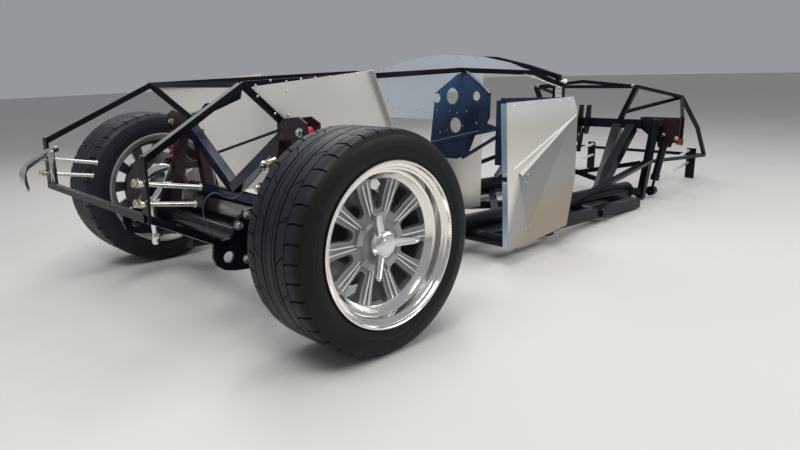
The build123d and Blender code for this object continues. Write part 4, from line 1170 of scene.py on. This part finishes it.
# Hinge post bracket and the bright strip that ties it to the firewall's top corner
postParts = {
    "strip": ((-1.045, 0.500, 0.791), (-1.177, 0.580, 0.742)),
    "stripSize": (0.030, 0.003),
    "plateThick": 0.003,
    "bracket": ((-1.150, 0.742), (-1.196, 0.742), (-1.196, 0.700), (-1.150, 0.700)),
    "bracketSide": 0.585,
    "holes": ((-1.160, 0.732), (-1.174, 0.732), (-1.188, 0.732), (-1.160, 0.717), (-1.174, 0.717),
              (-1.188, 0.717)),
    "holeRadius": 0.0042,
    "holeReach": 0.02,
    "whiteBolt": ((-1.205, 0.562, 0.765), (-1.205, 0.592, 0.765)),
    "boltRadius": 0.004,
    "boltHead": 0.0095,
}


def postBracket(p):
    bm = bmesh.new()
    addPlate(bm, p["bracket"], p["plateThick"], sidePlace(p["bracketSide"]), soften=0)
    holes = bmesh.new()
    for x, z in p["holes"]:
        addRod(holes, (x, p["bracketSide"] - p["holeReach"], z), (x, p["bracketSide"] + p["holeReach"], z),
               p["holeRadius"], sides=16)
    bm = cutAway(bm, holes)
    addBar(bm, *p["strip"], *p["stripSize"])
    first = addRod(bm, *p["whiteBolt"], p["boltRadius"])
    addBall(bm, p["whiteBolt"][1], p["boltHead"])
    paint(bm, first, "whitePlastic")
    return bm


finishPiece("hinge_post_bracket", postBracket(postParts), ["millSheet", "whitePlastic"], "chassis")
print("sheet details ready")

# Rear details: damper bolts, red bushings with dark discs, the deck hoop's bolt
rearParts = {
    "plateFace": -2.435,
    "bolts": ((0.478, 0.477), (0.553, 0.461)),
    "bush": (-2.460, 0.560, 0.442),
    # span across the car from the bush's middle, radius, softened edge, look
    "bushParts": ((-0.012, 0.014, 0.0175, 0.002, "redRubber"), (0.0135, 0.0175, 0.020, 0.001, "blackRubber")),
    "hoopBolt": (-2.350, 0.318, 0.752),
}


def rearFasteners(r):
    bm = bmesh.new()
    for sign in bothSigns:
        for y, z in r["bolts"]:
            addBolt(bm, (r["plateFace"], sign * y, z), (1, 0, 0), across=0.019, head=0.009, washer=0.0135)
        x, y, z = r["bush"]
        for start, end, radius, soften, look in r["bushParts"]:
            first = addRod(bm, (x, sign * (y + start), z), (x, sign * (y + end), z), radius, soften=soften)
            paint(bm, first, look)
        addBolt(bm, sided(r["hoopBolt"], sign), (1, 0, 0), across=0.013, head=0.006, washer=0.0105)
    return bm


finishPiece("rear_fasteners", rearFasteners(rearParts), ["zincPlate", "redRubber", "blackRubber"], "chassis")

# Rear jack rods with ball heads, and the dark flat bars they hang on
jackShape = {
    "bar": (-3.1455, 0.363, 0.251),
    "barSize": (0.008, 0.058, 0.198),
    "rods": (((-3.172, 0.346, 0.339), (-2.920, 0.358, 0.300)),
             ((-3.172, 0.346, 0.261), (-2.920, 0.358, 0.222))),
    "rodRadius": 0.0085,
    "head": 0.0122,
    "headAt": 0.003,
    "nut": (0.032, 0.041),
    "nutAcross": 0.018,
}


def rearJacks(j):
    bm = bmesh.new()
    for sign in bothSigns:
        addBlock(bm, Matrix.Translation(sided(j["bar"], sign)), j["barSize"], soften=0.001)
        for head, tip in j["rods"]:
            head, tip = sided(head, sign), sided(tip, sign)
            along = (tip - head).normalized()
            first = addRod(bm, head, tip, j["rodRadius"], sides=24, soften=0.001)
            addBall(bm, head + along * j["headAt"], j["head"], around=24, rings=14)
            paint(bm, first, "ribBright")
            first = addHex(bm, *(head + along * reach for reach in j["nut"]), j["nutAcross"])
            paint(bm, first, "zincPlate")
    return bm


finishPiece("rear_jacks", rearJacks(jackShape), ["blackGloss", "ribBright", "zincPlate"], "chassis",
            ("rear_jack_bolts",))

# Folded edges with painted highlights: the pedal plate's flanges in a light finish and the near-white ledge
# of the footbox panel's crease
edgeShape = {
    "flanges": (((-0.862, 0.354, 0.8025), (-0.862, 0.436, 0.7500)),
                ((-0.862, 0.435, 0.7505), (-0.862, 0.473, 0.7190)),
                ((-0.857, 0.151, 0.5068), (-0.857, 0.428, 0.5700))),
    "flangeSize": (0.015, 0.0025),
    "ledge": ((-0.8600, 0.6028, 0.4325), (-0.9440, 0.5830, 0.3950), (-1.2880, 0.6028, 0.6255)),
    "ledgeThick": 0.001,
}


def foldedEdges(e):
    bm = bmesh.new()
    for start, end in e["flanges"]:
        # the flanges' light cast finish is a painted highlight along the pedal plate's dark edges
        addBar(bm, start, end, *e["flangeSize"], soften=0.0004)
    corners = [Vector(place) for place in e["ledge"]]
    out = (corners[1] - corners[0]).cross(corners[2] - corners[0]).normalized()
    out *= e["ledgeThick"] * (1 if out.y > 0 else -1)
    first = len(bm.faces)
    upper = [bm.verts.new(corner + out) for corner in corners]
    lower = [bm.verts.new(corner - out) for corner in corners]
    bm.faces.new(upper)
    bm.faces.new(lower[::-1])
    for number in range(3):
        after = (number + 1) % 3
        bm.faces.new((upper[number], lower[number], lower[after], upper[after]))
    # the ledge's near-white finish is a painted highlight
    paint(bm, first, "ledgeHighlightSheet")
    return bm


finishPiece("folded_edges", foldedEdges(edgeShape), ["castSatin", "ledgeHighlightSheet"], "chassis")
print("rear details and folded edges ready")

# Front uprights: the ball joints' boots, the calipers' bolts, bleed screws and piston bosses
uprightShape = {
    "lowerBall": (0.006, 0.592, 0.205),
    "upperBall": (-0.014, 0.566, 0.432),
    "bootAt": (0.014, -0.014),
    "boot": ((-0.008, 0.0212), (-0.008, 0.0228), (-0.0045, 0.0252), (-0.001, 0.0232), (0.0025, 0.0256),
             (0.006, 0.0232), (0.0075, 0.0232), (0.0075, 0.0212)),
    "pistons": ((-0.118, 0.352), (-0.139, 0.398)),
    "pistonRadius": 0.0185,
    "pistonSpan": (-0.001, 0.0025),
    "pistonFace": 0.674,
    "bridgeBolts": ((-0.108, 0.335), (-0.158, 0.350), (-0.146, 0.404), (-0.120, 0.424)),
    "bleed": (-0.126, 0.640, 0.432),
    "bleedNut": (0.009, 0.009),  # height, size across flats
    "bleedStem": (0.016, 0.0028),  # height, radius
}


def uprightDetails(u, sign):
    bm = bmesh.new()
    lower, upper = sided(u["lowerBall"], sign), sided(u["upperBall"], sign)
    along = (upper - lower).normalized()
    for base, place in ((lower, u["bootAt"][0]), (upper, u["bootAt"][1])):
        addTurned(bm, u["boot"], base + along * place, along, steps=28, closed=True)
    for x, z in u["pistons"]:
        start, end = (Vector((x, sign * (u["pistonFace"] + reach), z)) for reach in u["pistonSpan"])
        first = addRod(bm, start, end, u["pistonRadius"], sides=32, soften=0.0012)
        paint(bm, first, "castSatin")
    for x, z in u["bridgeBolts"]:
        addBolt(bm, (x, sign * u["pistonFace"], z), (0, sign, 0), across=0.011, head=0.006, washer=0.0075)
    bleed = sided(u["bleed"], sign)
    (nutHeight, nutAcross), (stemHeight, stemRadius) = u["bleedNut"], u["bleedStem"]
    first = addHex(bm, bleed, bleed + Vector((0, 0, nutHeight)), nutAcross)
    addRod(bm, bleed, bleed + Vector((0, 0, stemHeight)), stemRadius, sides=12)
    paint(bm, first, "zincPlate")
    return bm


for sign, side in pairSides:
    finishPiece(f"upright_details_{side}", uprightDetails(uprightShape, sign),
                ["blackRubber", "zincPlate", "castSatin"], f"knuckle_{side}_body")
print("upright details ready")

# Studio
studio = {
    "floorSize": 30,
    "worldColour": (0.72, 0.75, 0.8),
    "worldStrength": 0.42,
    "lamps": (
        # place, aim, size, power
        ((2.6, 1.2, 3.4), (0.6, 0.2, 0.4), (3.2, 1.2), 85),
        ((-1.6, 3.4, 2.6), (-0.2, 0, 0.4), (3.6, 0.9), 75),
        ((0.4, 0.2, 3.8), (0.2, 0, 0.3), (0.7, 3.4), 60),
        ((-1.0, -3.2, 3.0), (0, 0, 0.4), (5.0, 1.6), 60),
    ),
}


def makeFloor(s):
    bm = bmesh.new()
    bmesh.ops.create_grid(bm, x_segments=1, y_segments=1, size=s["floorSize"])
    floor = bpy.data.objects.new("floor", meshOf("floor", bm))
    bpy.context.scene.collection.objects.link(floor)
    floor.data.materials.append(looks["studioFloor"])


def makeLamps(s):
    for number, (place, aim, size, power) in enumerate(s["lamps"]):
        data = bpy.data.lights.new(f"softbox{number}", "AREA")
        data.shape = "RECTANGLE"
        data.size, data.size_y = size
        data.energy = power
        lamp = bpy.data.objects.new(f"softbox{number}", data)
        lamp.location = place
        lamp.rotation_mode = "QUATERNION"
        lamp.rotation_quaternion = (Vector(aim) - Vector(place)).to_track_quat("-Z", "Y")
        bpy.context.scene.collection.objects.link(lamp)


def makeWorld(s):
    world = bpy.data.worlds.new("studioWorld")
    world.use_nodes = True
    background = world.node_tree.nodes["Background"]
    background.inputs["Color"].default_value = (*s["worldColour"], 1)
    background.inputs["Strength"].default_value = s["worldStrength"]
    bpy.context.scene.world = world


makeFloor(studio)
makeLamps(studio)
makeWorld(studio)
bpy.context.scene.view_settings.view_transform = "Standard"
print("studio ready")
